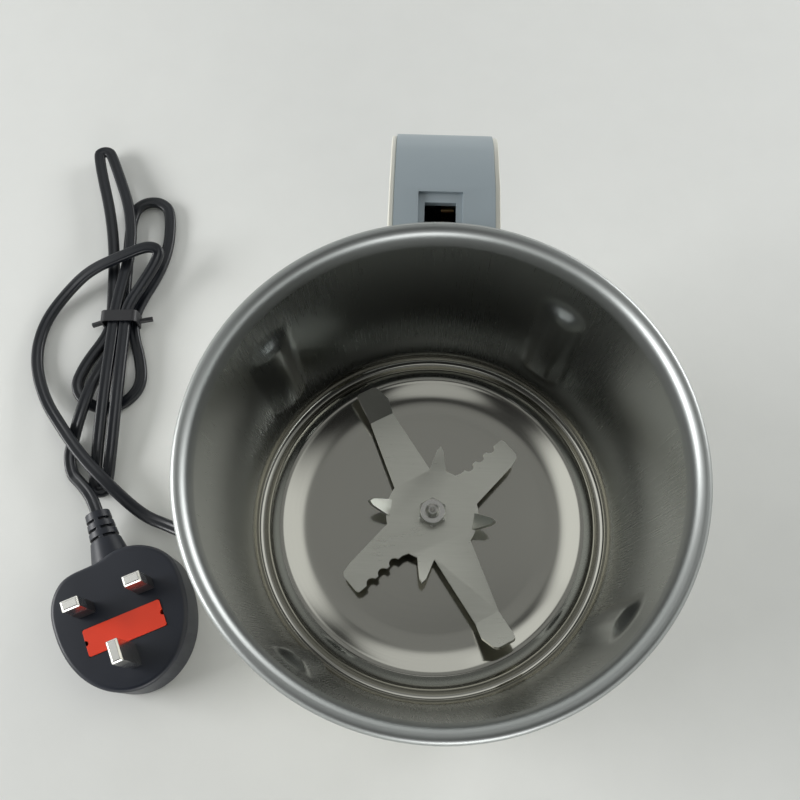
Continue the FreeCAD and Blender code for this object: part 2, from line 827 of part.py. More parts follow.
def handle_face(inset, inner_y):
    slope = math.radians(slope_deg)
    top = handle_top_z()
    cy = handle_back_y - top_corner_r
    cz = top - (cy - crease_y) * math.tan(slope) - top_corner_r / math.cos(slope)
    start = math.pi / 2 - slope
    radius = top_corner_r - inset
    low_cy = handle_back_y - low_corner_r
    low_cz = handle_bottom_z + low_corner_r
    crease = crease_y - inset * math.tan(slope / 2)
    return outline([
        Vec(0, inner_y, top - inset),
        Vec(0, crease, top - inset),
        Vec(0, cy + radius * math.cos(start), cz + radius * math.sin(start)),
        rounded_corner(cy, cz, radius, 90 - slope_deg, 0),
        Vec(0, handle_back_y - inset, low_cz),
        rounded_corner(low_cy, low_cz, low_corner_r - inset, 0, -90),
        Vec(0, inner_y, handle_bottom_z + inset),
    ])


def gap_face(outset):
    near = handle_back_y - grip_depth - finger_gap_w - outset
    far = handle_back_y - grip_depth + outset
    low = gap_low_z() - outset
    high = gap_high_z() + outset
    r = gap_corner_r + outset
    return outline([
        Vec(0, near, low + r),
        Vec(0, near, high - r),
        rounded_corner(near + r, high - r, r, 180, 90),
        Vec(0, far - r, high),
        rounded_corner(far - r, high - r, r, 90, 0),
        Vec(0, far, low + r),
        rounded_corner(far - r, low + r, r, 0, -90),
        Vec(0, near + r, low),
        rounded_corner(near + r, low + r, r, -90, -180),
    ])


def slab(face, x0, x1):
    moved = face.copy()
    moved.translate(Vec(x0, 0, 0))
    return moved.extrude(Vec(x1 - x0, 0, 0))


def cover_screw_heights():
    return (handle_bottom_z + 14.0, (gap_low_z() + gap_high_z()) / 2, gap_high_z() + 8.0)


def switch_seat_z():
    return lever_hinge_z() - 2.1


def lever_hinge_z():
    return handle_top_z() - 15.4


def handle_core():
    """Grey shell of the handle, open to both sides, with the ribs that its inside needs."""
    inner_y = housing_top_r + 1.2
    half = handle_half_w
    body = slab(handle_face(0, housing_foot_r - 6), -half, half).cut(slab(gap_face(0), -half - 1, half + 1))
    hollow = slab(handle_face(handle_wall, inner_y), -half - 1, half + 1)
    hollow = hollow.cut(slab(gap_face(handle_wall), -half - 2, half + 2))
    rail = box(-half - 2, half + 2, inner_y - 1, handle_back_y - grip_depth,
               gap_low_z() - handle_wall, gap_high_z() + handle_wall)
    body = body.cut(hollow.cut(rail))
    ribs = [box(-half, half, handle_back_y - grip_depth + 1, handle_back_y - 1, z - 1, z + 1)
            for z in cover_screw_heights()]
    ribs += [Part.makeCylinder(handle_boss_r, 2 * half, Vec(-half, handle_screw_y, z), X_AXIS)
             for z in cover_screw_heights()]
    boss_z, boss_tip = mount_screw_spots()[0]
    boss_len = boss_tip + 1.2 - inner_y + 2
    ribs.append(Part.makeCylinder(handle_boss_r, boss_len, Vec(0, inner_y - 2, boss_z), Y_AXIS))
    guide_end = lever_x - switch_w / 2 - 0.4
    ribs.append(box(-half, guide_end, inner_y - 1, plunger_y + 4, guide_z(), guide_z() + guide_t))
    seat = switch_seat_z() - switch_h
    ribs.append(box(-half, half, inner_y - 1, lever_hinge_y + 8, seat - guide_t, seat))
    body = fuse_all([body] + ribs).cut(housing_outside(fit_clearance))
    body = body.cut(slab(gap_face(0), -half - 1, half + 1))
    return cut_all(body, handle_cuts())


def guide_z():
    return switch_seat_z() - 2.5


def handle_cuts():
    top = handle_top_z()
    half = handle_half_w
    slot_half, recess_half = slot_w_x / 2, recess_w / 2
    cuts = [box(slot_x - slot_half, slot_x + slot_half, slot_near_y, slot_far_y,
                top - handle_wall - 1, top + 1)]
    cuts.append(box(slot_x - recess_half, slot_x + recess_half, slot_near_y - 3, recess_far_y,
                    top - recess_t, top + 1))
    bore = screw_r + running_clearance
    cuts += [Part.makeCylinder(bore, 2 * half + 2, Vec(-half + 4, handle_screw_y, z), X_AXIS)
             for z in cover_screw_heights()]
    cuts += [Part.makeCylinder(bore, tip + free_gap - 48, Vec(0, 48, z), Y_AXIS)
             for z, tip in mount_screw_spots()]
    cuts.append(rod(stem_r + running_clearance, guide_z() - 1, guide_z() + guide_t + 1, stem_x(), plunger_y))
    return cuts


def stem_x():
    return plunger_x - 1.5


def cover_plate():
    plate = slab(handle_face(cover_inset, housing_foot_r - 6), 0, cover_t)
    return plate.cut(slab(gap_face(cover_inset), -1, cover_t + 1))


def handle_cover_left():
    plate = cover_plate()
    plate.translate(Vec(-handle_half_w - cover_t, 0, 0))
    return plate.cut(housing_outside(fit_clearance))


def handle_cover_right():
    plate = cover_plate()
    plate.translate(Vec(handle_half_w, 0, 0))
    plate = plate.cut(housing_outside(fit_clearance))
    holes = [Part.makeCylinder(screw_r + fit_clearance, 6, Vec(handle_half_w - 1, handle_screw_y, z), X_AXIS)
             for z in cover_screw_heights()]
    return cut_all(plate, holes)


def handle_screws():
    face = handle_half_w + cover_t
    pieces = []
    for z in cover_screw_heights():
        head = Part.makeCylinder(screw_head_r, 1.2, Vec(face, handle_screw_y, z), X_AXIS)
        tip = Vec(face - handle_screw_len, handle_screw_y, z)
        shank = Part.makeCylinder(screw_r, handle_screw_len, tip, X_AXIS)
        pieces.append(head.fuse(shank))
    return Part.makeCompound(pieces)


def handle_mount_screws():
    pieces = []
    for z, tip in mount_screw_spots():
        seat = housing_radius(z) - housing_wall - 0.3
        head = Part.makeCylinder(screw_head_r - 0.4, 1.4, Vec(0, seat - 1.4, z), Y_AXIS)
        pieces.append(head.fuse(Part.makeCylinder(screw_r, tip - seat, Vec(0, seat, z), Y_AXIS)))
    return Part.makeCompound(pieces)


# Lid switch
def lever_rest_angle():
    return math.atan2(plunger_travel, lever_reach)


def lever_top_at(y):
    """Top of the resting lever at a place along Y."""
    return lever_hinge_z() + (lever_hinge_y - y) * math.tan(lever_rest_angle()) + lever_t / 2


def interlock_plunger():
    top = handle_top_z() - plunger_below_top
    foot_low = lever_top_at(plunger_y - plunger_len_y / 2) + 0.1
    y0 = plunger_y - plunger_len_y / 2
    y1 = plunger_y + plunger_len_y / 2
    block = box(plunger_x - plunger_w / 2, plunger_x + plunger_w / 2, y0, y1, foot_low, top)
    foot = box(plunger_x - plunger_w / 2 - 1.6, lever_x + lever_w / 2 - 0.4, y0, y1, foot_low, foot_low + 2.6)
    stem = rod(stem_r, guide_z() - 0.9, foot_low, stem_x(), plunger_y)
    return fuse_all([block, foot, stem])


def plunger_spring():
    low = guide_z() + guide_t
    high = lever_top_at(plunger_y - plunger_len_y / 2) + 0.1
    spring = coil_spring(plunger_spring_r, plunger_spring_wire, high - low, 5)
    spring.translate(Vec(stem_x(), plunger_y, low))
    return spring


def switch_lever():
    z = lever_hinge_z()
    x0, x1 = lever_x - lever_w / 2, lever_x + lever_w / 2
    leaf = box(x0, x1, lever_hinge_y - lever_reach, lever_hinge_y, z - lever_t / 2, z + lever_t / 2)
    leaf.rotate(Vec(0, lever_hinge_y, z), Vec(-1, 0, 0), math.degrees(lever_rest_angle()))
    barrel = Part.makeCylinder(1.0, lever_w, Vec(x0, lever_hinge_y, z), X_AXIS)
    hole_r = lever_pin_r + running_clearance
    pin_hole = Part.makeCylinder(hole_r, lever_w + 2, Vec(x0 - 1, lever_hinge_y, z), X_AXIS)
    return fuse_all([leaf, barrel]).cut(pin_hole)


def microswitch_body():
    x0 = lever_x - switch_w / 2
    x1 = lever_x + switch_w / 2
    top = switch_seat_z()
    y0 = lever_hinge_y - 14.8
    case = box(x0, x1, y0, y0 + switch_len, top - switch_h, top)
    z = lever_hinge_z()
    ears = []
    for ex0, ex1 in ((x0, lever_x - lever_w / 2 - free_gap), (lever_x + lever_w / 2 + free_gap, x1)):
        ears.append(box(ex0, ex1, lever_hinge_y - 1.6, lever_hinge_y + 1.6, top - 1, z + 1.4))
    pin = Part.makeCylinder(lever_pin_r, switch_w, Vec(x0, lever_hinge_y, z), X_AXIS)
    body = fuse_all([case, pin] + ears)
    return body.cut(button_shape(running_clearance, 3.0))


def button_top_z():
    drop = lever_t / 2 / math.cos(lever_rest_angle())
    return lever_hinge_z() + (button_from_hinge - button_w / 2) * math.tan(lever_rest_angle()) - drop - 0.25


def button_shape(grow, depth):
    y = lever_hinge_y - button_from_hinge
    half = button_w / 2 + grow
    return box(lever_x - half, lever_x + half, y - half, y + half,
               switch_seat_z() - depth - grow, button_top_z())


def switch_button():
    return button_shape(0.0, 1.4)


# Plug
def at_plug(shape):
    shape.rotate(Vec(0, 0, 0), Z_AXIS, plug_yaw)
    shape.translate(Vec(plug_x, plug_y, 0))
    return shape


def flat_pin(size, x, y):
    w, d, length = size
    pin = box(x - w / 2, x + w / 2, y - d / 2, y + d / 2, plug_t - pin_root, plug_t + length)
    top_edges = [e for e in pin.Edges if e.BoundBox.ZMin > plug_t + length - 0.01]
    return pin.makeChamfer(0.6, top_edges)


def line_pin_shape(x):
    """Live or neutral pin, thinner where its sleeve goes round it."""
    root = plug_t - pin_root - 1
    waist = line_pin_box(x, -1.0, root, plug_t + sleeve_len)
    core = line_pin_box(x, sleeve_t, root, plug_t + sleeve_len)
    return flat_pin(line_pin, x, 0).cut(waist.cut(core))


def line_pin_box(x, inset, z0, z1):
    half_w = line_pin[0] / 2 - inset
    half_d = line_pin[1] / 2 - inset
    return box(x - half_w, x + half_w, -half_d, half_d, z0, z1)


def pin_sleeve_shape(x):
    outer = line_pin_box(x, 0, plug_t, plug_t + sleeve_len)
    return outer.cut(line_pin_box(x, sleeve_t, plug_t - 1, plug_t + sleeve_len + 1))


def plug_outline():
    """Smooth closed outline through one half's points and their mirror images."""
    half = [(17, 14), (22.5, 8), (24.5, -3), (23, -14), (17.5, -25), (8, -32.3)]
    right = [Vec(x, y, 0) for x, y in half]
    left = [Vec(-x, y, 0) for x, y in reversed(half)]
    lead_end = Vec(0, 16.6, 0)
    earth_end = Vec(0, -34, 0)
    curve = Part.BSplineCurve()
    curve.interpolate([lead_end] + right + [earth_end] + left, PeriodicFlag=True)
    return Part.Face(Part.Wire(curve.toShape()))


def plug_boot():
    """Moulded strain relief: a taper along the plug's Y with ring grooves."""
    length = boot_end - boot_start
    cone = Part.makeCone(boot_root_r, boot_tip_r, length, Vec(0, 0, 0), Z_AXIS)
    for number in range(boot_groove_count):
        z = length - 3.0 - groove_pitch * number
        cone = cone.cut(tube(boot_root_r + 2, boot_tip_r - 1.2 + 0.25 * number, z - groove_w, z))
    cone.rotate(Vec(0, 0, 0), X_AXIS, -90)
    cone.translate(Vec(0, boot_start, boot_z))
    return cone


def plug_body():
    case = plug_outline().extrude(Vec(0, 0, plug_t))
    rims = [e for e in case.Edges if e.BoundBox.ZMax - e.BoundBox.ZMin < 0.01]
    case = case.makeFillet(1.8, rims)
    body = case.fuse(plug_boot())
    half_w = carrier_w / 2 + fit_clearance
    half_d = carrier_d / 2 + fit_clearance
    pocket = box(-half_w, half_w, carrier_y - half_d, carrier_y + half_d, plug_t - 10.0, plug_t + 5)
    roots = [box(x - w / 2, x + w / 2, y - d / 2, y + d / 2, plug_t - pin_root, plug_t + 1)
             for x, y, w, d in pin_roots()]
    return at_plug(cut_all(body, [pocket] + roots))


def pin_roots():
    """Place and section of each pin where it is held in the plug."""
    w, d = line_pin[0] - 2 * sleeve_t, line_pin[1] - 2 * sleeve_t
    sides = [(side * pin_spacing / 2, 0, w, d) for side in (-1, 1)]
    return sides + [(0, -earth_offset, earth_pin[0], earth_pin[1])]


def fuse_carrier():
    half = carrier_w / 2
    low = plug_t - carrier_lid_t
    lid = box(-half, half, carrier_y - carrier_d / 2, carrier_y + carrier_d / 2, low, plug_t + 0.4)
    lid = lid.makeFillet(0.8, [e for e in lid.Edges if e.BoundBox.ZMax - e.BoundBox.ZMin > 1])
    arms = []
    for side in (-1, 1):
        x0, x1 = two_sided(fuse_len / 2 + running_clearance, half - 0.2, side)
        arms.append(box(x0, x1, carrier_y - 3, carrier_y + 3, plug_t - 8.6, low))
    body = fuse_all([lid] + arms)
    notches = [rod(1.0, low - 1, plug_t + 2, side * half, carrier_y) for side in (-1, 1)]
    return at_plug(cut_all(body, notches))


def fuse():
    z = plug_t - carrier_lid_t - fuse_r - running_clearance
    return at_plug(Part.makeCylinder(fuse_r, fuse_len, Vec(-fuse_len / 2, carrier_y, z), X_AXIS))


# Free lead and hank
def plug_point(x, y, z):
    return at_plug(Part.Vertex(x, y, z)).Point


def hank_point(across, along, z):
    """Point from the tie: across to the right, along towards the upper loops."""
    a = math.radians(tie_up_deg)
    up = Vec(math.cos(a), math.sin(a), 0)
    right = Vec(math.sin(a), -math.cos(a), 0)
    flat = Vec(tie_x, tie_y, 0) + right * across + up * along
    return Vec(flat.x, flat.y, z)


def hank_loop(first, last, way, reach, left, right, lean, mid_z, tip_z, belly):
    """One loop of the hank, from strand to strand through the tie.

    first and last are (across, z) in the tie, way is +1 for an upper loop and -1 for a lower
    one, left and right are the legs' places at the tip, lean moves the tip sideways, and belly
    holds the legs' places half way out. Four corners round the tip.
    """
    side = 1 if last[0] > first[0] else -1
    legs = (left, right) if side > 0 else (right, left)
    middles = belly if side > 0 else belly[::-1]
    corner = 0.3 * abs(right - left)
    half_way = 0.5 * reach
    local = [(first[0], waist_half, first[1]),
             (middles[0], half_way, mid_z[0]),
             (legs[0] + lean, reach - corner, tip_z),
             (legs[0] + lean + side * corner, reach, tip_z),
             (legs[1] + lean - side * corner, reach, tip_z),
             (legs[1] + lean, reach - corner, tip_z),
             (middles[1], half_way, mid_z[1]),
             (last[0], waist_half, last[1])]
    return [hank_point(across, way * along, z) for across, along, z in local]


# Strands in the tie: two on top of three
strand_right_top = (strand_pitch / 2, top_strand_z)
strand_middle = (0.0, low_strand_z)
strand_left = (-strand_pitch, low_strand_z)
strand_right = (strand_pitch, low_strand_z)
strand_left_top = (-strand_pitch / 2, top_strand_z)

mill_side = [
    along_lead(Part.Vertex(gland_end_r, 0, lead_z)).Point,
    along_lead(Part.Vertex(gland_end_r + 9.0, 0, lead_z - 0.1)).Point,
    Vec(-100.6, 16.2, 6.4),
    Vec(-112.0, 20.3, 4.6),
    Vec(-126.0, 31.3, 8.4),
    Vec(-139.1, 43.0, 8.4),
    Vec(-150.1, 56.1, 8.0),
    Vec(-159.9, 68.1, 4.0),
    Vec(-166.6, 82.3, 2.4),
    Vec(-168.3, 94.4, 2.2),
    Vec(-166.4, 106.4, 2.2),
    Vec(-159.6, 117.6, 4.0),
]
curl = [
    hank_point(-15.0, 22.8, 8.4),
    hank_point(1.0, 27.6, 12.6),
    hank_point(11.0, 31.4, 13.6),
    hank_point(16.2, 29.6, 13.0),
    hank_point(14.6, 24.4, 11.2),
    hank_point(8.8, 15.0, 9.0),
    hank_point(strand_right_top[0], waist_half, strand_right_top[1]),
]
plug_side = [
    hank_point(strand_middle[0], -waist_half, strand_middle[1]),
    hank_point(-3.8, -12.5, 2.2),
    hank_point(-7.6, -22.5, 3.0),
    hank_point(-9.8, -32.5, 6.8),
    hank_point(-13.0, -46.9, 6.4),
    hank_point(-15.6, -54.4, 2.6),
    hank_point(-16.3, -61.0, 2.3),
    hank_point(-14.2, -68.4, 2.4),
    Vec(-138.6, 32.6, 5.4),
    plug_point(0, boot_end + 7.0, boot_z),
    plug_point(0, boot_end, boot_z),
]
hank_turns = (
    hank_loop(strand_right_top, strand_left_top, -1, 75.5, -2.7, 2.7, -2.3,
              (8.0, 8.0), flat_z, (-3.3, 2.3))
    + hank_loop(strand_left_top, strand_left, 1, 87.0, -3.4, 3.4, -15.5,
                (7.6, 5.0), 5.0, (-6.9, 3.6))
    + hank_loop(strand_left, strand_right, -1, 39.4, -14.0, 14.0, -3.7,
                (flat_z, flat_z), flat_z, (-14.6, 9.6))
    + hank_loop(strand_right, strand_middle, 1, 61.0, -9.0, 9.0, 8.0,
                (flat_z, flat_z), flat_z, (-0.9, 16.9))
)


def between(a, b, share):
    return a + (b - a) * share


def path_edges(points, name):
    """Straight runs joined by tangent arcs, each as large as its two runs allow."""
    edges = []
    radii = []
    last = points[0]
    for before, here, after in zip(points, points[1:], points[2:]):
        back = before - here
        ahead = after - here
        reach = 0.45 * min(back.Length, ahead.Length)
        back.normalize()
        ahead.normalize()
        half_turn = (math.pi - back.getAngle(ahead)) / 2
        radius = reach / math.tan(half_turn)
        inward = back + ahead
        inward.normalize()
        start = here + back * reach
        end = here + ahead * reach
        middle = here + inward * (radius / math.cos(half_turn) - radius)
        edges.append(Part.LineSegment(last, start).toShape())
        edges.append(Part.Arc(start, middle, end).toShape())
        radii.append(round(radius, 1))
        last = end
    edges.append(Part.LineSegment(last, points[-1]).toShape())
    print(name, "radii", radii)
    return edges


def lead_tube(points, name):
    edges = path_edges(points, name)
    spine = Part.Wire(edges)
    section = Part.Wire(Part.makeCircle(lead_r, points[0], points[1] - points[0]))
    solid = spine.makePipeShell([section], True, False)
    expected = math.pi * lead_r ** 2 * spine.Length
    print(name, "length", round(spine.Length, 1), "volume share", round(solid.Volume / expected, 4))
    return solid, spine


def own_gap(spine):
    """Least gap of a tube to itself, on points a millimetre apart along its path."""
    count = int(spine.Length)
    points = spine.discretize(count)
    skip = int(4 * lead_r * 2)
    least = min(points[i].distanceToPoint(points[j])
                for i in range(0, count) for j in range(i + skip, count))
    return least - 2 * lead_r


def cord_nodes():
    split_a = between(mill_side[-1], curl[0], 0.5)
    hanked = 4
    split_b = between(plug_side[hanked - 1], plug_side[hanked], 0.5)
    lead, lead_path = lead_tube(mill_side + [split_a], "cord_mill_side")
    hank, hank_path = lead_tube([split_a] + curl + hank_turns + plug_side[:hanked] + [split_b], "cord_hank")
    tail, tail_path = lead_tube([split_b] + plug_side[hanked:], "cord_plug_side")
    print("whole lead", round(lead_path.Length + hank_path.Length + tail_path.Length, 1))
    print("hank gap to itself", round(own_gap(hank_path), 2))
    return lead, hank, tail


def twist_tie():
    """Wire tie: a flat band round the strands with its two ends twisted off to the sides."""
    half_w = strand_pitch + lead_r + 0.4
    low = low_strand_z - lead_r - 0.2
    high = top_strand_z + lead_r + 0.2
    outer_w = half_w + tie_wall
    outer = box(-outer_w, outer_w, -tie_len / 2, tie_len / 2, low - tie_wall, high + tie_wall)
    inner = box(-half_w, half_w, -tie_len, tie_len, low, high)
    band = outer.makeFillet(2.4, [e for e in outer.Edges if e.BoundBox.YLength > tie_len - 0.1])
    band = band.cut(inner.makeFillet(1.9, [e for e in inner.Edges if e.BoundBox.YLength > tie_len]))
    ends = [Part.makeCylinder(tie_end_r, tie_end_len, Vec(side * (outer_w - 0.3), 0, low + 2.6),
                              Vec(side, 0.25 * side, -0.15)) for side in (-1, 1)]
    tie = fuse_all([band] + ends)
    tie.rotate(Vec(0, 0, 0), Z_AXIS, tie_up_deg - 90)
    tie.translate(Vec(tie_x, tie_y, 0))
    return tie


def build():
    left = brush_parts(-1)
    right = brush_parts(1)
    lead, hank, tail = cord_nodes()
    nodes = {
        "milling_cup": milling_cup(),
        "housing": housing(),
        "base_plate": base_plate(),
        "rubber_feet": rubber_feet(),
        "base_screws": base_screws(),
        "handle_core": handle_core(),
        "handle_cover_left": handle_cover_left(),
        "handle_cover_right": handle_cover_right(),
        "handle_screws": handle_screws(),
        "handle_mount_screws": handle_mount_screws(),
        "interlock_plunger": interlock_plunger(),
        "plunger_spring": plunger_spring(),
        "switch_lever": switch_lever(),
        "switch_button": switch_button(),
        "microswitch_body": microswitch_body(),
        "motor_shaft": motor_shaft(),
        "bearing_sleeve": bearing_sleeve(),
        "sleeve_nut": sleeve_nut(),
        "shaft_seal": shaft_seal(),
        "blade_spacer": blade_spacer(),
        "blade": blade(),
        "blade_nut": blade_nut(),
        "rotor_core": rotor_core(),
        "rotor_winding": rotor_winding(),
        "commutator": commutator(),
        "cooling_fan": cooling_fan(),
        "stator_core": stator_core(),
        "field_coils": field_coils(),
        "upper_bracket": upper_bracket(),
        "upper_bearing": bush(upper_hub_z, upper_bearing_len),
        "bracket_screws": bracket_screws(),
        "lower_bracket": lower_bracket(),
        "lower_bearing": bush(lower_hub_z, lower_bearing_len),
        "motor_screws": motor_screws(),
        "brush_holder_left": left[0],
        "brush_left": left[1],
        "brush_spring_left": left[2],
        "brush_holder_right": right[0],
        "brush_right": right[1],
        "brush_spring_right": right[2],
        "thermal_cutout": thermal_cutout(),
        "terminal_block": terminal_block(),
        "supply_lead": supply_lead(),
        "cord_gland": cord_gland(),
        "cord_clamp": cord_clamp(),
        "cord_clamp_screws": cord_clamp_screws(),
        "cord_mill_side": lead,
        "cord_hank": hank,
        "cord_plug_side": tail,
        "twist_tie": twist_tie(),
        "plug_body": plug_body(),
        "plug_live_pin": at_plug(line_pin_shape(pin_spacing / 2)),
        "plug_neutral_pin": at_plug(line_pin_shape(-pin_spacing / 2)),
        "plug_earth_pin": at_plug(flat_pin(earth_pin, 0, -earth_offset)),
        "pin_sleeves": at_plug(Part.makeCompound([pin_sleeve_shape(s * pin_spacing / 2) for s in (-1, 1)])),
        "fuse_carrier": fuse_carrier(),
        "fuse": fuse(),
    }
    for name, shape in nodes.items():
        save(name, shape)


build()
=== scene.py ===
# %% [markdown]
# A small electric grain mill, seen from above: a steel cup over a motor in a
# white housing, a mug handle with a switch for the lid, and a tied mains lead.
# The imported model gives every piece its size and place, and is never moved.
# This lesson adds what the eye looks for: soft edges, dents, grain, gloss, and
# light.

# %% Load the frame
import bmesh
import bpy
import json
import math
from mathutils import Matrix, Vector

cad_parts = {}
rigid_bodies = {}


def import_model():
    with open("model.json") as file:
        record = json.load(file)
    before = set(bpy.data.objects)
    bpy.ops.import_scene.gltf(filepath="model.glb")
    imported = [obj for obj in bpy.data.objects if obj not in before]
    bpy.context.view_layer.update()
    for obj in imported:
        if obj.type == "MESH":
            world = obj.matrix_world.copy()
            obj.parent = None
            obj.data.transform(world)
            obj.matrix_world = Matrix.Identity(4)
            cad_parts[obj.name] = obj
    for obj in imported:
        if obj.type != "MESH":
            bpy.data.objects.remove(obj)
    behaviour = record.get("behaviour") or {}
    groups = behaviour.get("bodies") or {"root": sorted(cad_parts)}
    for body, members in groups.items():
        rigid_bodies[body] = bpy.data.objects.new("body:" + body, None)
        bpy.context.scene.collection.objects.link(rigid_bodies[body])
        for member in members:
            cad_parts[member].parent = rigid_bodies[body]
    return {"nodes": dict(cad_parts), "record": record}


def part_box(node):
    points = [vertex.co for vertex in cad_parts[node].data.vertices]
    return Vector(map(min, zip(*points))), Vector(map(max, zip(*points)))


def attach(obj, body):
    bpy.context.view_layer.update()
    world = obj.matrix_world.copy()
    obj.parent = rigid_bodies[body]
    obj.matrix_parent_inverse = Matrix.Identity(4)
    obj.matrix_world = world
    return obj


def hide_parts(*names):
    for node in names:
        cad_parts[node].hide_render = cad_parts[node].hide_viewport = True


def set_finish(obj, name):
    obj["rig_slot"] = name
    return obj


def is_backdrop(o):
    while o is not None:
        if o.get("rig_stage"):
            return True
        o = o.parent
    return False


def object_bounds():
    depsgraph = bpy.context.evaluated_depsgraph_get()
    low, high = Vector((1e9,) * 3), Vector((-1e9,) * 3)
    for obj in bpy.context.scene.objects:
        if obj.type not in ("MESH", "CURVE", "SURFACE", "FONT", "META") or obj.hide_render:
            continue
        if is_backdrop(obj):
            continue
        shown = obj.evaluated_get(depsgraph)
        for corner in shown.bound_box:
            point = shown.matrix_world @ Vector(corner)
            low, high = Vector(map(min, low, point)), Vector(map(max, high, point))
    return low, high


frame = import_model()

cad_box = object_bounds()
nodes = frame["nodes"]
mm = 0.001
deg = math.radians

# %% [markdown]
# Everything round in the mill stands on the motor's axis, so that line is
# worked out once, from the box of the cup. It could be typed in as a number,
# but then a change to the model would leave the looks behind. Heights are
# taken from the cup's rim and floor.

# %% The mill's axis and its main heights
cup_low, cup_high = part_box("milling_cup")
axis_y = (cup_low.y + cup_high.y) / 2
rim_top = cup_high.z
chamber_depth = 62.6 * mm
floor_z = rim_top - chamber_depth
print("axis y", round(axis_y / mm, 2), "rim", round(rim_top / mm, 1), "floor", round(floor_z / mm, 1))


def at_mill(x, y, z):
    """A point in millimetres from the motor axis, as a point of the frame."""
    return Vector((x * mm, y * mm + axis_y, z * mm))


# %% [markdown]
# The camera looks almost straight down into the cup, from a little in front
# of it. Its lens and place could be tried by eye, but the rim and the floor
# show as ellipses, and the pins of the plug have known sizes, so they were
# worked out from those.

# %% Camera
camera_tilt = 20.65         # degrees from straight down
camera_roll = -0.26
camera_turn = 2.2
photo_lens = 39.06
camera_spot = at_mill(-6.55, -54.79, 343.5)

camera_data = bpy.data.cameras.new("camera")
camera_data.lens = photo_lens
camera_data.sensor_width = 36.0
camera_data.clip_start = 0.01
camera = bpy.data.objects.new("camera", camera_data)
bpy.context.scene.collection.objects.link(camera)
aim = Matrix.Rotation(deg(camera_turn), 4, "Z") @ Matrix.Rotation(deg(camera_tilt), 4, "X")
roll = Matrix.Rotation(deg(camera_roll), 4, "Z")
camera.matrix_world = Matrix.Translation(camera_spot) @ aim @ roll
bpy.context.scene.camera = camera
print("camera height", round(camera.matrix_world.translation.z / mm))

# %% [markdown]
# The lead is flat two-core cord. It leaves the housing low on the left, runs
# up beside the mill, goes round itself into a hank of four loops, and comes
# back to the plug. Its places are given from three things that carry it: the
# gland in the housing, the tie round the hank, and the plug.

# %% Where the lead starts and ends
lead_azimuth = 173.0
lead_z = 12.0
gland_end_r = 80.0
plug_x, plug_y, plug_yaw = -112.84, -14.14, 25.0
boot_end, boot_z = 37.0, 9.0
tie_x, tie_y, tie_up_deg = -133.0, 105.6, 93.0


def along_lead(r, z):
    return at_mill(r * math.cos(deg(lead_azimuth)), r * math.sin(deg(lead_azimuth)), z)


def plug_point(x, y, z):
    c, s = math.cos(deg(plug_yaw)), math.sin(deg(plug_yaw))
    return at_mill(plug_x + x * c - y * s, plug_y + x * s + y * c, z)


def hank_point(across, along, z):
    """Across to the right of the tie, along towards the upper loops."""
    c, s = math.cos(deg(tie_up_deg)), math.sin(deg(tie_up_deg))
    return at_mill(tie_x + along * c + across * s, tie_y + along * s - across * c, z)


gap = along_lead(gland_end_r, lead_z) - plug_point(0, boot_end, boot_z)
print("from gland to plug", round(gap.length / mm), "mm")

# %% [markdown]
# In the tie, two strands lie on three. Each loop leaves the tie as one strand
# and comes back as another. It could be drawn turn by turn, as a coil is, but
# a hank's loops are flat and all differ, so each one is eight corners that are
# worked out from its two strands, its reach and the width of its end.

# %% The strands in the tie
strand_pitch = 4.8
low_strand_z, top_strand_z = 3.0, 7.0
flat_z = 2.1
waist_half = 5.0
right_top = (strand_pitch / 2, top_strand_z)
left_top = (-strand_pitch / 2, top_strand_z)
middle = (0.0, low_strand_z)
left = (-strand_pitch, low_strand_z)
right = (strand_pitch, low_strand_z)
print("strands across the tie", round((right[0] - left[0]) / strand_pitch) + 1)


# %% One loop of the hank
def hank_loop(first, last, way, reach, leg_left, leg_right, lean, mid_z, tip_z, belly):
    """Eight corners from strand to strand: way is 1 for an upper loop, -1 for a lower one."""
    side = 1 if last[0] > first[0] else -1
    legs = (leg_left, leg_right) if side > 0 else (leg_right, leg_left)
    middles = belly if side > 0 else belly[::-1]
    corner = 0.3 * abs(leg_right - leg_left)
    corners = [(first[0], waist_half, first[1]),
               (middles[0], reach / 2, mid_z[0]),
               (legs[0] + lean, reach - corner, tip_z),
               (legs[0] + lean + side * corner, reach, tip_z),
               (legs[1] + lean - side * corner, reach, tip_z),
               (legs[1] + lean, reach - corner, tip_z),
               (middles[1], reach / 2, mid_z[1]),
               (last[0], waist_half, last[1])]
    return [hank_point(across, way * along, z) for across, along, z in corners]


hank_turns = (
    hank_loop(right_top, left_top, -1, 75.5, -2.7, 2.7, -2.3, (8.0, 8.0), flat_z, (-3.3, 2.3))
    + hank_loop(left_top, left, 1, 87.0, -3.4, 3.4, -15.5, (7.6, 5.0), 5.0, (-6.9, 3.6))
    + hank_loop(left, right, -1, 39.4, -14.0, 14.0, -3.7, (flat_z, flat_z), flat_z, (-14.6, 9.6))
    + hank_loop(right, middle, 1, 61.0, -9.0, 9.0, 8.0, (flat_z, flat_z), flat_z, (-0.9, 16.9))
)
print("corners in the loops", len(hank_turns))

# %% [markdown]
# A cord has one length and no sharp corners, so it is one smooth curve. The
# points are the corners that it rounds, not points that it passes through.
# The table carries it at half its thickness, and it is lifted in a long low
# hump where it lies over itself.

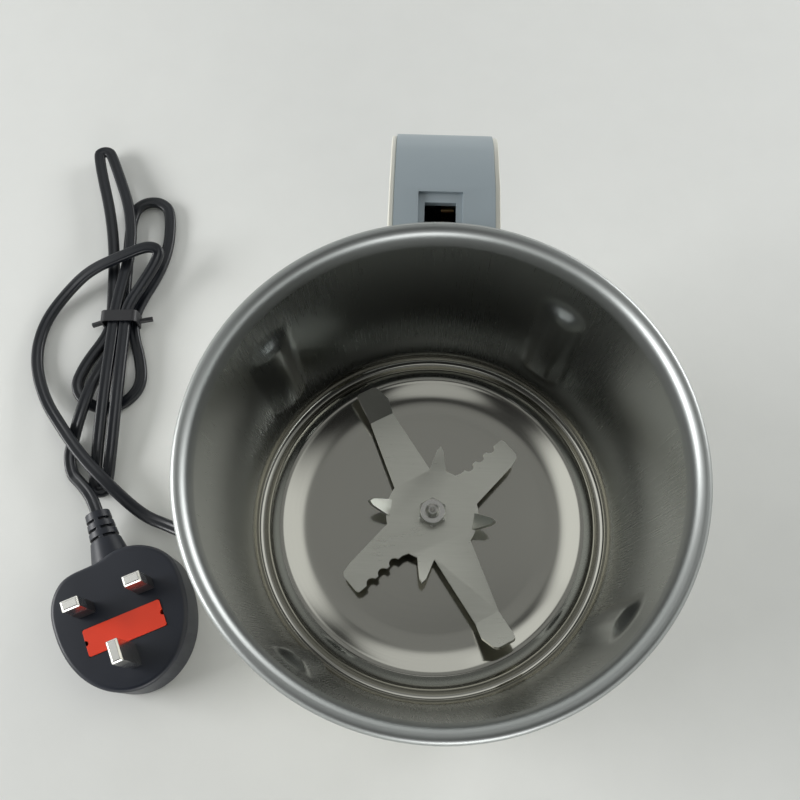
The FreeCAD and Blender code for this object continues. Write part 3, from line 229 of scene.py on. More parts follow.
# %% The whole route
from_mill = [
    along_lead(gland_end_r, lead_z),
    along_lead(gland_end_r + 9.0, lead_z - 0.1),
    at_mill(-100.6, 16.2, 6.4),
    at_mill(-112.0, 20.3, 4.6),
    at_mill(-126.0, 31.3, 8.4),
    at_mill(-139.1, 43.0, 8.4),
    at_mill(-150.1, 56.1, 8.0),
    at_mill(-159.9, 68.1, 4.0),
    at_mill(-166.6, 82.3, 2.4),
    at_mill(-168.3, 94.4, 2.2),
    at_mill(-166.4, 106.4, 2.2),
    at_mill(-159.6, 117.6, 4.0),
]
over_the_hank = [
    hank_point(-15.0, 22.8, 8.4),
    hank_point(1.0, 27.6, 12.6),
    hank_point(11.0, 31.4, 13.6),
    hank_point(16.2, 29.6, 13.0),
    hank_point(14.6, 24.4, 11.2),
    hank_point(8.8, 15.0, 9.0),
    hank_point(right_top[0], waist_half, right_top[1]),
]
to_plug = [
    hank_point(middle[0], -waist_half, middle[1]),
    hank_point(-3.8, -12.5, 2.2),
    hank_point(-7.6, -22.5, 3.0),
    hank_point(-9.8, -32.5, 6.8),
    hank_point(-13.0, -46.9, 6.4),
    hank_point(-15.6, -54.4, 2.6),
    hank_point(-16.3, -61.0, 2.3),
    hank_point(-14.2, -68.4, 2.4),
    at_mill(-138.6, 32.6, 5.4),
    plug_point(0, boot_end + 7.0, boot_z),
    plug_point(0, boot_end, boot_z),
]
lead_route = from_mill + over_the_hank + hank_turns + to_plug
lead_width, lead_thickness = 4.7, 2.9
print("corners of the lead", len(lead_route))

# %% [markdown]
# The cord's section is two round cores side by side under one skin, which
# leaves a shallow groove along both flat faces. A round bevel would be
# simpler, but then the lead would look like a plain cable. So a closed curve
# of that shape is the bevel of the route. It is drawn a thousand times too
# large, and a radius of a thousandth at each point brings it back to size.

# %% The section of the cord
section = bpy.data.curves.new("lead_section", "CURVE")
section.dimensions = "2D"
outline = section.splines.new("NURBS")
half_w, half_t = lead_width / 2, lead_thickness / 2
skin_spread = 1.02
section_half = [(0.0, 0.84), (0.32, 1.02), (0.72, 1.03), (1.02, 0.6)]
ring = section_half + [(x, -y) for x, y in section_half[::-1]]
ring += [(-x, y) for x, y in ring[::-1]][1:-1]
outline.points.add(len(ring) - 1)
for point, (x, y) in zip(outline.points, ring):
    point.co = (x * half_w * skin_spread, y * half_t, 0, 1)
outline.use_cyclic_u = True
outline.order_u = 3
outline.resolution_u = 3
section_object = bpy.data.objects.new("lead_section", section)
print("section points", len(ring))

# %% [markdown]
# The curve takes the route and the section. Its twist is held to the vertical,
# because a flat cord lies on its flat side on a table.

# %% The cord
lead_curve = bpy.data.curves.new("mains_lead", "CURVE")
lead_curve.dimensions = "3D"
lead_curve.twist_mode = "Z_UP"
route = lead_curve.splines.new("NURBS")
route.points.add(len(lead_route) - 1)
for point, place in zip(route.points, lead_route):
    point.co = (*place, 1)
    point.radius = mm
route.order_u = 3
route.use_endpoint_u = True
route.resolution_u = 10
lead_curve.bevel_mode = "OBJECT"
lead_curve.bevel_object = section_object
lead_curve.use_fill_caps = True
lead = bpy.data.objects.new("mains_lead", lead_curve)
bpy.context.scene.collection.objects.link(lead)
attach(lead, "mill")
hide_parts("cord_mill_side", "cord_hank", "cord_plug_side")
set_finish(lead, "lead_black")
print("lead", round(route.calc_length(), 3), "m")

# %% [markdown]
# Modelling by hand starts from a primitive and goes on in edit mode. An
# operator acts on all that is selected, and the loaded pieces start selected,
# so these helpers make one piece the only one, name what was just added, and
# pick vertices or edges by their place.


# %% Helpers for edit mode
def leave_edit():
    if bpy.context.object and bpy.context.object.mode != "OBJECT":
        bpy.ops.object.mode_set(mode="OBJECT")


def only(piece):
    """Make one piece the only one selected."""
    leave_edit()
    bpy.ops.object.select_all(action="DESELECT")
    piece.select_set(True)
    bpy.context.view_layer.objects.active = piece


def edit(piece):
    only(piece)
    bpy.ops.object.mode_set(mode="EDIT")
    bpy.ops.mesh.select_mode(type="VERT")
    bpy.ops.mesh.select_all(action="SELECT")


def named(name):
    """Name the primitive that was just added."""
    piece = bpy.context.object
    piece.name = piece.data.name = name
    return piece


def pick(piece, wanted, kind="verts"):
    """Select in edit mode the vertices or edges that a test wants."""
    bpy.ops.mesh.select_all(action="DESELECT")
    shape = bmesh.from_edit_mesh(piece.data)
    for item in getattr(shape, kind):
        item.select_set(wanted(item))
    shape.select_flush_mode()
    bmesh.update_edit_mesh(piece.data)


# %% [markdown]
# A finished piece has its origin at the frame's, its modifiers applied, a body
# that it rides on, and the slot of its finish. Doing that in three helpers
# keeps every step below the same.


# %% Helpers that finish a piece
def settle(piece, smooth_deg=None):
    """Put the place into the mesh, and smooth the shading of edges flatter than an angle."""
    only(piece)
    bpy.ops.object.transform_apply(location=True, rotation=True, scale=True)
    if smooth_deg is not None:
        bpy.ops.object.shade_smooth_by_angle(angle=deg(smooth_deg))
    return piece


def finish_with(piece, kind, **settings):
    """Add a modifier and apply it."""
    only(piece)
    modifier = piece.modifiers.new(kind.lower(), kind)
    for key, value in settings.items():
        setattr(modifier, key, value)
    bpy.ops.object.modifier_apply(modifier=modifier.name)
    return piece


def stand_for(piece, body, slot, *replaced):
    """Let a piece ride on its body, take its slot, and stand for its CAD nodes."""
    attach(piece, body)
    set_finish(piece, slot)
    if replaced:
        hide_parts(*replaced)
    print(piece.name, len(piece.data.polygons), "faces")
    return piece


# %% [markdown]
# Most of the mill is turned work, so it can be a profile, drawn once, and spun
# about the motor axis. Stacked cylinders would do too, but every step between
# them would be a hard edge. Round stretches of the profile are arcs, as fine
# as the eye needs in a reflection.


# %% Stretches of a profile
def arc(centre_r, centre_z, radius, start_deg, end_deg, count):
    """Points of an arc in a profile; 0 degrees points outwards, 90 up."""
    turns = [deg(start_deg + (end_deg - start_deg) * k / count) for k in range(count + 1)]
    return [(centre_r + radius * math.cos(a), centre_z + radius * math.sin(a)) for a in turns]


def arc_through(a, b, c, count):
    """Points of the arc from a through b to c."""
    (ax, ay), (bx, by), (cx, cy) = a, b, c
    d = 2 * (ax * (by - cy) + bx * (cy - ay) + cx * (ay - by))
    sa, sb, sc = ax * ax + ay * ay, bx * bx + by * by, cx * cx + cy * cy
    ux = (sa * (by - cy) + sb * (cy - ay) + sc * (ay - by)) / d
    uy = (sa * (cx - bx) + sb * (ax - cx) + sc * (bx - ax)) / d
    start, mid, end = (math.degrees(math.atan2(y - uy, x - ux)) for x, y in (a, b, c))
    while mid - start > 180:
        mid -= 360
    while mid - start < -180:
        mid += 360
    while (end - mid) * (mid - start) < 0:
        end += 360 if mid > start else -360
    return arc(ux, uy, math.hypot(ax - ux, ay - uy), start, end, count)


def straight(a, b, count):
    steps = [k / count for k in range(count + 1)]
    return [(a[0] + (b[0] - a[0]) * t, a[1] + (b[1] - a[1]) * t) for t in steps]


# %% [markdown]
# The profile starts as the one corner of a plane whose corners are merged, and
# is extruded from point to point. The spin makes the shape, and its seam is
# merged before its faces are turned outwards.


# %% Drawing and spinning a profile
def trace(name, points):
    """A chain of edges through points, extruded from one corner."""
    leave_edit()
    bpy.ops.object.select_all(action="DESELECT")
    bpy.ops.mesh.primitive_plane_add(size=mm, location=points[0])
    piece = named(name)
    edit(piece)
    bpy.ops.mesh.merge(type="CENTER")
    for before, after in zip(points, points[1:]):
        bpy.ops.mesh.extrude_region_move(TRANSFORM_OT_translate={"value": after - before})
    return piece


def spun(name, profile, steps, closed=False):
    """Spin a profile of (radius, height) in millimetres about the motor axis."""
    piece = trace(name, [at_mill(r, 0, z) for r, z in profile])
    if closed:
        bpy.ops.mesh.select_all(action="SELECT")
        bpy.ops.mesh.remove_doubles(threshold=0.001 * mm)
        pick(piece, lambda v: len(v.link_edges) == 1)
        bpy.ops.mesh.edge_face_add()
    bpy.ops.mesh.select_all(action="SELECT")
    bpy.ops.mesh.spin(steps=steps, angle=2 * math.pi, center=(0, axis_y, 0), axis=(0, 0, 1))
    bpy.ops.mesh.select_all(action="SELECT")
    bpy.ops.mesh.remove_doubles(threshold=0.002 * mm)
    bpy.ops.mesh.normals_make_consistent(inside=False)
    leave_edit()
    return settle(piece)


def from_axis(spot):
    """How far a point is from the motor axis."""
    return math.hypot(spot.x, spot.y - axis_y)


def face_up(piece, is_floor):
    """Turn an open sheet round where its floor looks down."""
    face = next(f for f in piece.data.polygons if is_floor(f))
    if face.normal.z < 0:
        edit(piece)
        bpy.ops.mesh.flip_normals()
        leave_edit()


# %% [markdown]
# The milling cup is deep drawn from one steel sheet. Its rim is rolled over
# the housing as a bead, whose inner side is a wide soft lip that leads the lid
# in. The wall tapers to the floor, and the floor is pressed into a groove, a
# round shoulder and a flat disc. Only the inner skin is drawn, because the
# sheet has the same thickness all over, and that is added later.

# %% Profile of the rim and the wall
rim_z, fz = rim_top / mm, floor_z / mm
bead_r, bead = 56.5, 1.45
hem = [(57.1, rim_z - 2.8), (57.55, rim_z - 2.72)]
hem += arc(57.5, rim_z - 2.25, 0.5, -60, 0, 3)
bead_arc = arc(bead_r, rim_z - bead, bead, 0, 125, 16)
lip = [(55.2, 0.62), (54.82, 1.05), (54.52, 1.55), (54.30, 2.15), (54.13, 2.85), (54.0, 3.55)]
lip = [(r, rim_z - down) for r, down in lip]
seam_r, seam_round, corner_r = 49.0, 2.6, 46.8
wall = straight((53.88, rim_z - 4.3), (seam_r, fz + seam_round), 44)
corner = [(corner_r + 2.2 * math.cos(deg(a)), fz + seam_round * (1 - math.sin(deg(a))))
          for a in range(10, 91, 10)]
print("rim and wall", len(hem + bead_arc + lip + wall + corner), "points")

# %% Profile of the floor
crest_r, crest, dish_r, disc_z = 42.0, 2.5, 31.0, 0.4
dish_width, dish_rise, dish_steps = 9.8, 1.85, 24
bush_r = 6.15
shoulder = arc_through((46.1, fz + 0.3), (44.3, fz + 1.75), (crest_r, fz + crest), 14)
dish = [(dish_r + dish_width * t / dish_steps, fz + disc_z + dish_rise * (t / dish_steps) ** 2)
        for t in range(dish_steps, -1, -1)]
disc = straight((dish_r - 1.5, fz + disc_z), (bush_r, fz + disc_z), 8)
print("floor", len(shoulder + dish + disc), "points")

# %% Spin the cup
cup = spun("cup", hem + bead_arc + lip + wall + corner + shoulder + dish + disc, 288)
face_up(cup, lambda face: from_axis(face.center) < 30 * mm)
print("cup", len(cup.data.vertices), "vertices")

# %% [markdown]
# Four upright dents are pressed into the wall from outside. They stop the
# grain from swirling round. A boolean would leave sharp rims, so each is a
# strip of vertices that is pushed inwards with proportional editing. A smooth
# falloff gives it the soft flanks and ends that a round-nosed punch leaves in
# thin sheet.

# %% Dents
dent_first, dent_count = 54.0, 4
dent_low, dent_high = (fz + 14.0) * mm, (fz + 44.0) * mm
dent_depth = 2.0 * mm
dent_half = 1.8 * mm
dent_flank = 6.0 * mm
wall_least_r = 40 * mm

for number in range(dent_count):
    azimuth = deg(dent_first + 360 / dent_count * number)
    inward = Vector((-math.cos(azimuth), -math.sin(azimuth), 0))
    sideways = Vector((-inward.y, inward.x, 0))

    def on_ridge(vertex):
        spot = vertex.co - Vector((0, axis_y, 0))
        in_strip = abs(spot.dot(sideways)) < dent_half and dent_low < vertex.co.z < dent_high
        return in_strip and spot.dot(inward) < -wall_least_r

    edit(cup)
    pick(cup, on_ridge)
    bpy.ops.transform.translate(value=inward * dent_depth, use_proportional_edit=True,
                                proportional_edit_falloff="SMOOTH", proportional_size=dent_flank)
leave_edit()
level = [v.co for v in cup.data.vertices if abs(v.co.z - dent_low - 10 * mm) < 1 * mm]
print("inner radius at the dents", round(min(from_axis(spot) for spot in level) / mm, 2))

# %% [markdown]
# A drawn cup is one sheet, 0.8 mm thick, and its edge shows only under the
# bead. Solidify adds it on the outside, so that the inner skin, which the
# camera sees, stays where it was drawn.

# %% Thickness of the sheet
sheet = 0.8 * mm
finish_with(cup, "SOLIDIFY", thickness=sheet, offset=-1.0, use_even_offset=True)
settle(cup, 25)
stand_for(cup, "mill", "polished_steel", "milling_cup")

# %% [markdown]
# The housing is one tapering tube of white plastic. The mould leaves a soft
# edge at the bottom, a fine groove above the foot ring, and a wall of 2 mm.
# It is spun as the cup is, but as a closed profile, because both sides of the
# wall differ.

# %% Profile of the housing
house_low, house_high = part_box("housing")
house_top_r, house_foot_r, house_wall = 57.0, 53.5, 2.0
low_z, high_z = house_low.z / mm, house_high.z / mm
foot_round, groove_z, groove_half, groove_depth = 2.4, 8.0, 0.6, 0.35
top_round, cup_seat_r = 0.6, 55.9


def house_r(z):
    return house_foot_r + (house_top_r - house_foot_r) * (z - low_z) / (rim_z - low_z)


groove_floor_r = house_r(groove_z) - groove_depth
house_profile = arc(house_r(low_z) - foot_round, low_z + foot_round, foot_round, -90, 0, 8)
house_profile += [(house_r(groove_z - groove_half), groove_z - groove_half),
                  (groove_floor_r, groove_z - groove_half / 2),
                  (groove_floor_r, groove_z + groove_half / 2),
                  (house_r(groove_z + groove_half), groove_z + groove_half)]
house_profile += straight((house_r(14), 14), (house_r(high_z - 1), high_z - 1), 12)
house_profile += arc(house_r(high_z) - top_round, high_z - top_round, top_round, 0, 90, 3)
house_profile += [(cup_seat_r, high_z), (cup_seat_r, rim_z - 5.2)]
house_profile += [(house_r(rim_z - 8) - house_wall, rim_z - 8), (house_r(low_z) - house_wall, low_z)]
print("housing profile", len(house_profile), "points")

# %% [markdown]
# The lead comes out through a round hole with the gland in it. A boolean with
# a cylinder cuts it cleanly, because both shapes are closed.

# %% Housing
house = spun("housing_shell", house_profile, 160, closed=True)
bpy.ops.object.select_all(action="DESELECT")
bpy.ops.mesh.primitive_cylinder_add(vertices=48, radius=5.1 * mm, depth=14 * mm,
                                    rotation=(0, deg(90), deg(lead_azimuth)),
                                    location=along_lead(54, lead_z))
hole = named("lead_hole")
finish_with(house, "BOOLEAN", object=hole, operation="DIFFERENCE")
bpy.data.objects.remove(hole)
settle(house, 35)
stand_for(house, "mill", "white_plastic", "housing")

# %% [markdown]
# Moulded and pressed pieces are never as sharp as a drawing. They could be
# modelled again from nothing, but their shapes are right already. So a copy of
# a CAD piece is merged into one skin, its flat faces are dissolved back into
# single ones, and its edges get a small round, which is what catches the light.


# %% Soften the edges of a CAD piece
def softened(node, name, width, segments=2, smooth_deg=35, sharper_than=40, corners=None):
    """A copy of a node with rounded edges; corners are (edge test, radius, segments)."""
    piece = bpy.data.objects.new(name, nodes[node].data.copy())
    bpy.context.scene.collection.objects.link(piece)
    piece.data.name = name
    edit(piece)
    bpy.ops.mesh.customdata_custom_splitnormals_clear()
    bpy.ops.mesh.remove_doubles(threshold=0.002 * mm)
    bpy.ops.mesh.dissolve_limited(angle_limit=deg(1.0))
    if corners:
        wanted, round_r, count = corners
        bpy.ops.mesh.select_mode(type="EDGE")
        pick(piece, wanted, "edges")
        bpy.ops.mesh.bevel(offset=round_r * mm, segments=count, affect="EDGES")
    settle(piece, smooth_deg)
    return finish_with(piece, "BEVEL", width=width * mm, segments=segments, limit_method="ANGLE",
                       angle_limit=deg(sharper_than), use_clamp_overlap=True, harden_normals=True)


# %% [markdown]
# The handle is a grey shell between two white side covers. The covers are
# the strips of cream along its edges, seen from above. The shell has the
# wider round, because a hand closes on it.

# %% Handle
handle = softened("handle_core", "handle_shell", 0.8, 4)
stand_for(handle, "mill", "grey_plastic", "handle_core")
for side in ("left", "right"):
    cover = softened("handle_cover_" + side, "cover_" + side, 0.4, 3)
    stand_for(cover, "mill", "white_plastic", "handle_cover_" + side)

# %% [markdown]
# The blade is pressed from steel sheet: two long arms with turned-up tips,
# two serrated arms and four small tabs. A punch rounds the corners at the
# ends of the arms and leaves the teeth as they are, so those upright edges are
# picked by how far they are from the axis. The faces stay flat, and only a
# hair of an edge is rounded.

# %% Blade and nut
blade_axis = Vector((0, axis_y, 0))
beyond_teeth = 27.5 * mm


def punched_corner(edge):
    """Upright edges at the arms' ends, and not in the teeth."""
    a, b = (v.co for v in edge.verts)
    along = (b - a).normalized()
    far = ((a + b) / 2 - blade_axis).xy.length
    return abs(along.z) > 0.6 and far > beyond_teeth and edge.calc_face_angle(0) > deg(50)


blade = softened("blade", "blade_sheet", 0.08, 1, 20, corners=(punched_corner, 1.1, 5))
stand_for(blade, "rotor", "blade_steel", "blade")
nut = softened("blade_nut", "nut", 0.2, 3)
stand_for(nut, "rotor", "shaft_steel", "blade_nut")

# %% [markdown]
# The plug is moulded in one piece with its strain relief. Its top has a wide
# round at the outline, and its pockets have hardly any. So the outline's edges
# are picked by the walls that face away from the middle, and get a round of
# their own before the small one that goes everywhere.

# %% Plug
plug_middle = plug_point(0, 0, 0)
plug_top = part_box("plug_body")[1].z
top_band, pocket_reach = 0.3 * mm, 15 * mm


def outline_edge(edge):
    """Edges round the top of the plug, and not those of its pockets."""
    spot = (edge.verts[0].co + edge.verts[1].co) / 2
    out = Vector((spot.x - plug_middle.x, spot.y - plug_middle.y, 0))
    at_top = all(v.co.z > plug_top - top_band for v in edge.verts)
    outward = any(abs(f.normal.z) < 0.5 and f.normal.dot(out) > 0 for f in edge.link_faces)
    return at_top and outward and out.length > pocket_reach


plug = softened("plug_body", "plug_case", 0.25, 2, 40, 50, corners=(outline_edge, 1.3, 5))
stand_for(plug, "mill", "plug_black", "plug_body")
plug_pieces = [plug]

# %% [markdown]
# The strain relief is a ribbed cone of soft plastic. It widens smoothly into
# the body, which a second cone over its root gives, and a web down its middle
# parts each groove into a slot on the left and one on the right.

# %% Where the strain relief widens
relief_root_r, relief_tip_r, relief_start = 7.0, 4.7, 10.0
flare_start, flare_end, flare_r, flare_proud = 14.0, 25.5, 8.3, 0.15


def relief_r(y):
    share = (y - relief_start) / (boot_end - relief_start)
    return relief_root_r + (relief_tip_r - relief_root_r) * share


bpy.ops.object.select_all(action="DESELECT")
bpy.ops.mesh.primitive_cone_add(vertices=64, radius1=flare_r * mm,
                                radius2=(relief_r(flare_end) + flare_proud) * mm,
                                depth=(flare_end - flare_start) * mm,
                                rotation=(deg(-90), 0, deg(plug_yaw)),
                                location=plug_point(0, (flare_start + flare_end) / 2, boot_z))
flare = settle(named("relief_flare"), 30)
finish_with(flare, "BEVEL", width=0.4 * mm, segments=3, limit_method="ANGLE",
            angle_limit=deg(40), harden_normals=True)
plug_pieces.append(stand_for(flare, "mill", "plug_black"))

# %% The web of the strain relief
web_width, web_sunk, web_end = 1.7, 0.12, 36.4
bpy.ops.object.select_all(action="DESELECT")
bpy.ops.mesh.primitive_cube_add(size=1, location=(0, (flare_end + web_end) / 2 * mm, 0))
web = named("relief_web")
web.scale = (web_width * mm, (web_end - flare_end) * mm, 2 * (relief_r(flare_end) - web_sunk) * mm)
settle(web)
edit(web)
pick(web, lambda v: v.co.y > (web_end - 1) * mm)
bpy.ops.transform.resize(value=(1, 1, relief_r(web_end) / relief_r(flare_end)))
leave_edit()
web.rotation_euler.z = deg(plug_yaw)
web.location = plug_point(0, 0, boot_z)
settle(web, 30)
finish_with(web, "BEVEL", width=0.3 * mm, segments=2, limit_method="ANGLE", harden_normals=True)
plug_pieces.append(stand_for(web, "mill", "plug_black"))

# %% [markdown]
# The pins are brass bars with a bright plate and chamfered ends. Two of them
# have a black sleeve at the root. The red carrier holds the fuse, and lifts
# out of its pocket by the notches at its ends, so it rides on a body of its
# own. Small edges want small rounds: a quarter of a millimetre is enough.

# %% Pins, sleeves and fuse carrier
for pin in ("plug_live_pin", "plug_neutral_pin", "plug_earth_pin"):
    bright = softened(pin, pin + "_bright", 0.25, 3)
    plug_pieces.append(stand_for(bright, "mill", "shaft_steel", pin))
sleeves = softened("pin_sleeves", "sleeves", 0.15, 2)
carrier = softened("fuse_carrier", "carrier", 0.3, 3)
plug_pieces += [stand_for(sleeves, "mill", "black_plastic", "pin_sleeves"),
                stand_for(carrier, "carrier", "carrier_red", "fuse_carrier")]

# %% [markdown]
# A lead is held by a tapered rubber gland where it leaves the housing. Gland,
# tie, plug and fuse all hang on the one cord.

# %% The gland on the cord
gland = stand_for(softened("cord_gland", "gland", 0.3, 2), "mill", "rubber_black", "cord_gland")
print("pieces on the lead", len(plug_pieces) + 4)

# %% [markdown]
# Shader maths reads best as arithmetic. A Wire is one socket of a node tree,
# and adding or multiplying it adds the Math node. The nodes could be linked
# one by one, but a formula on one line is easier to read and to change.


# %% Wires
class Wire:
    """A socket that can be used in an expression."""

    def __init__(self, wiring, socket):
        self.wiring = wiring
        self.socket = socket

    def maths(self, operation, first, second):
        return self.wiring.node("ShaderNodeMath", {"operation": operation}, {0: first, 1: second})

    def __add__(self, other):
        return self.maths("ADD", self, other)

    def __sub__(self, other):
        return self.maths("SUBTRACT", self, other)

    def __rsub__(self, other):
        return self.maths("SUBTRACT", other, self)

    def __mul__(self, other):
        return self.maths("MULTIPLY", self, other)

    def __pow__(self, other):
        return self.maths("POWER", self, other)

    __radd__ = __add__
    __rmul__ = __mul__


# %% [markdown]
# Every other node is made by one method, which takes its type, its settings
# and the values or wires of its sockets. A material and the world's light are
# both node trees, so they share it.


# %% Wiring of a node tree
class Wiring:
    """A node tree that is wired from Python."""

    def __init__(self, tree):
        self.tree = tree

    def feed(self, node, values):
        for key, value in values.items():
            if isinstance(value, Wire):
                self.tree.links.new(value.socket, node.inputs[key])
            else:
                node.inputs[key].default_value = value

    def node(self, kind, settings=None, values=None, output=0):
        """Any node: its settings first, then its sockets."""
        made = self.tree.nodes.new(kind)
        for key, value in (settings or {}).items():
            setattr(made, key, value)
        self.feed(made, values or {})
        return Wire(self, made.outputs[output])

    def step(self, value, start, end):
        """0 before start, 1 after end, and smooth between."""
        return self.node("ShaderNodeMapRange", {"interpolation_type": "SMOOTHSTEP"},
                         {"Value": value, "From Min": start, "From Max": end})

    def colours(self, share, low, high):
        """A mix of two colours; 6 and 7 are the colour sockets of the Mix node."""
        values = {0: share, 6: (*low, 1), 7: (*high, 1)}
        return self.node("ShaderNodeMix", {"data_type": "RGBA"}, values, 2)


# %% [markdown]
# A Finish is the wiring of one material. What is the same all over goes on the
# shader's own sockets, and what changes over the surface comes as wires. Its
# patterns read Object coordinates, so they stay on the piece when it moves.


# %% A finish
class Finish(Wiring):
    """A material round one Principled shader."""

    def __init__(self, name, metallic=0.0):
        self.material = bpy.data.materials.new(name)
        self.material.use_nodes = True
        super().__init__(self.material.node_tree)
        self.shader = self.tree.nodes["Principled BSDF"]
        self.feed(self.shader, {"Metallic": metallic})

    def place(self):
        """Object coordinates, which are the frame's."""
        return self.node("ShaderNodeTexCoord", output="Object")

    def noise(self, scale, detail=3.0, roughness=0.6, at=None):
        values = {"Scale": scale, "Detail": detail, "Roughness": roughness}
        return self.node("ShaderNodeTexNoise", None, {**values, "Vector": at or self.place()})

    def bump(self, height, strength, distance):
        normal = self.node("ShaderNodeBump", None,
                           {"Height": height, "Strength": strength, "Distance": distance})
        self.feed(self.shader, {"Normal": normal})

    def show(self, colour, rough):
        self.feed(self.shader, {"Base Color": colour, "Roughness": rough})
        return self.material


# %% [markdown]
# Drawn steel shows how it was worked: fine upright lines from the drawing on
# the wall, and fine rings from the polishing wheel on the floor and the rim.
# An image of scratches would need a map for each piece. Noise that is
# stretched along the line does the same in round coordinates.


# %% Round coordinates
def round_place(finish):
    """Distance from the motor axis, angle about it, and height, in metres and radians."""
    here = finish.place()
    x, y, z = (finish.node("ShaderNodeSeparateXYZ", None, {0: here}, k) for k in range(3))
    y = y - axis_y
    radius = (x * x + y * y) ** 0.5
    angle = finish.node("ShaderNodeMath", {"operation": "ARCTAN2"}, {0: y, 1: x})
    return radius, angle, z


def joined(finish, x, y, z):
    return finish.node("ShaderNodeCombineXYZ", None, {0: x, 1: y, 2: z})


# %% [markdown]
# The cup has three finishes in one: a bright floor, a wall that is dulled by
# the drawing, and a satin rim. The dulling is in the roughness; the wall's
# darker colour is painted shade, on steel that is the same as the floor's.
# They are one material, because the sheet is one piece, and masks by height
# blend them.

# %% Steel of the cup
# The wall's tone is the floor's steel made darker: painted shade.
floor_tone, painted_shade_wall_tone = (0.575, 0.565, 0.515), (0.37, 0.385, 0.38)
lines_round, lines_up = 160.0, 60.0     # drawing lines: fine round the wall, long up it
rings, rings_round = 2600.0, 0.6        # polishing rings: fine across, long round the axis


def cup_steel():
    finish = Finish("cup_steel", metallic=1.0)
    radius, angle, z = round_place(finish)
    on_wall = finish.step(z, floor_z + 2.5 * mm, floor_z + 6 * mm)
    on_rim = finish.step(z, rim_top - 6 * mm, rim_top - 4.5 * mm)
    drawn_at = joined(finish, angle * lines_round, z * lines_up, radius * lines_up)
    turned_at = joined(finish, radius * rings, z * rings, angle * rings_round)
    drawn = finish.noise(1.0, 4.0, 0.7, drawn_at)
    turned = finish.noise(1.0, 3.0, 0.6, turned_at)
    cloudy = finish.noise(24.0, 2.0)
    grain = turned + on_wall * (1 - on_rim) * (drawn - turned)
    satin = 0.12 + on_wall * 0.16 + on_rim * 0.15
    wear = (grain - 0.5) * 0.07 + (cloudy - 0.5) * 0.08
    # Between the floor's tone and the darker wall tone, which is painted shade; the grain adds real
    # variation.
    tone = finish.colours(on_wall + (grain - 0.5) * 0.28, floor_tone, painted_shade_wall_tone)
    finish.bump(grain * (1 - on_rim * 0.8), 0.03, 0.02 * mm)
    return finish.show(tone, satin + wear)


print("floor tone", floor_tone, "wall tone", painted_shade_wall_tone)

# %% [markdown]
# Rolled sheet keeps a fine grain along the way it was rolled, which is X here.
# The small metal pieces are ground, plated or cast, so their grain has no
# direction. Both are one noise each, in the colour, the gloss and the bump.

# %% Sheet and small metal pieces
rolled_grain = (120, 2600, 900)


def sheet_steel(name, low, high, satin):
    """Pressed sheet with a fine rolled grain along X, and a cloudy polish."""
    finish = Finish(name, metallic=1.0)
    along_x = finish.node("ShaderNodeMapping", None,
                          {"Vector": finish.place(), "Scale": rolled_grain})
    grain = finish.noise(1.0, 3.0, 0.6, along_x)
    cloudy = finish.noise(90.0, 2.0)
    finish.bump(grain, 0.04, 0.02 * mm)
    rough = satin + (grain - 0.5) * 0.10 + (cloudy - 0.5) * 0.10
    return finish.show(finish.colours(grain, low, high), rough)


def worked_metal(name, low, high, satin, scale=500.0):
    """Ground, plated or cast metal for the small pieces."""
    finish = Finish(name, metallic=1.0)
    grain = finish.noise(scale, 4.0, 0.65)
    finish.bump(grain, 0.08, 0.02 * mm)
    return finish.show(finish.colours(grain, low, high), satin + (grain - 0.5) * 0.16)


# %% [markdown]
# Moulded plastic is nearly even, but never quite: a very fine skin texture,
# and gloss that wanders a little where hands have been. One flat colour would
# look like a toy, and a strong pattern like stone, so both noises are faint.


# %% Plastics and rubber
def moulded(name, low, high, gloss, skin=900.0, skin_depth=0.01):
    finish = Finish(name)
    fine = finish.noise(skin, 2.0)
    cloudy = finish.noise(45.0, 3.0)
    finish.bump(fine, 0.12, skin_depth * mm)
    rough = gloss + (cloudy - 0.5) * 0.14 + (fine - 0.5) * 0.05
    return finish.show(finish.colours(cloudy, low, high), rough)


# %% [markdown]
# Each slot of the model gets its finish: two colours that the grain moves
# between, and how rough it is. The colours are close together, as they are on
# a clean machine, and no black is pure black.

# %% The metals
finishes = {
    "polished_steel": cup_steel(),
    "blade_steel": sheet_steel("blade_steel", (0.72, 0.72, 0.65), (0.80, 0.80, 0.73), 0.30),
    "shaft_steel": worked_metal("bright_steel", (0.74, 0.73, 0.70), (0.84, 0.83, 0.80), 0.24),
    "screw_steel": worked_metal("plated_steel", (0.52, 0.53, 0.54), (0.64, 0.65, 0.66), 0.30),
    "spring_steel": worked_metal("spring_wire", (0.42, 0.42, 0.43), (0.56, 0.56, 0.57), 0.30),
    "cast_alloy": worked_metal("cast_alloy", (0.46, 0.47, 0.48), (0.58, 0.59, 0.60), 0.50, 260.0),
    "lamination": worked_metal("core_steel", (0.16, 0.16, 0.17), (0.26, 0.26, 0.27), 0.50, 300.0),
    "bronze": worked_metal("bronze", (0.66, 0.42, 0.20), (0.80, 0.54, 0.28), 0.30),
    "copper": worked_metal("copper", (0.74, 0.38, 0.22), (0.86, 0.48, 0.30), 0.34),
}
print("metals", len(finishes))

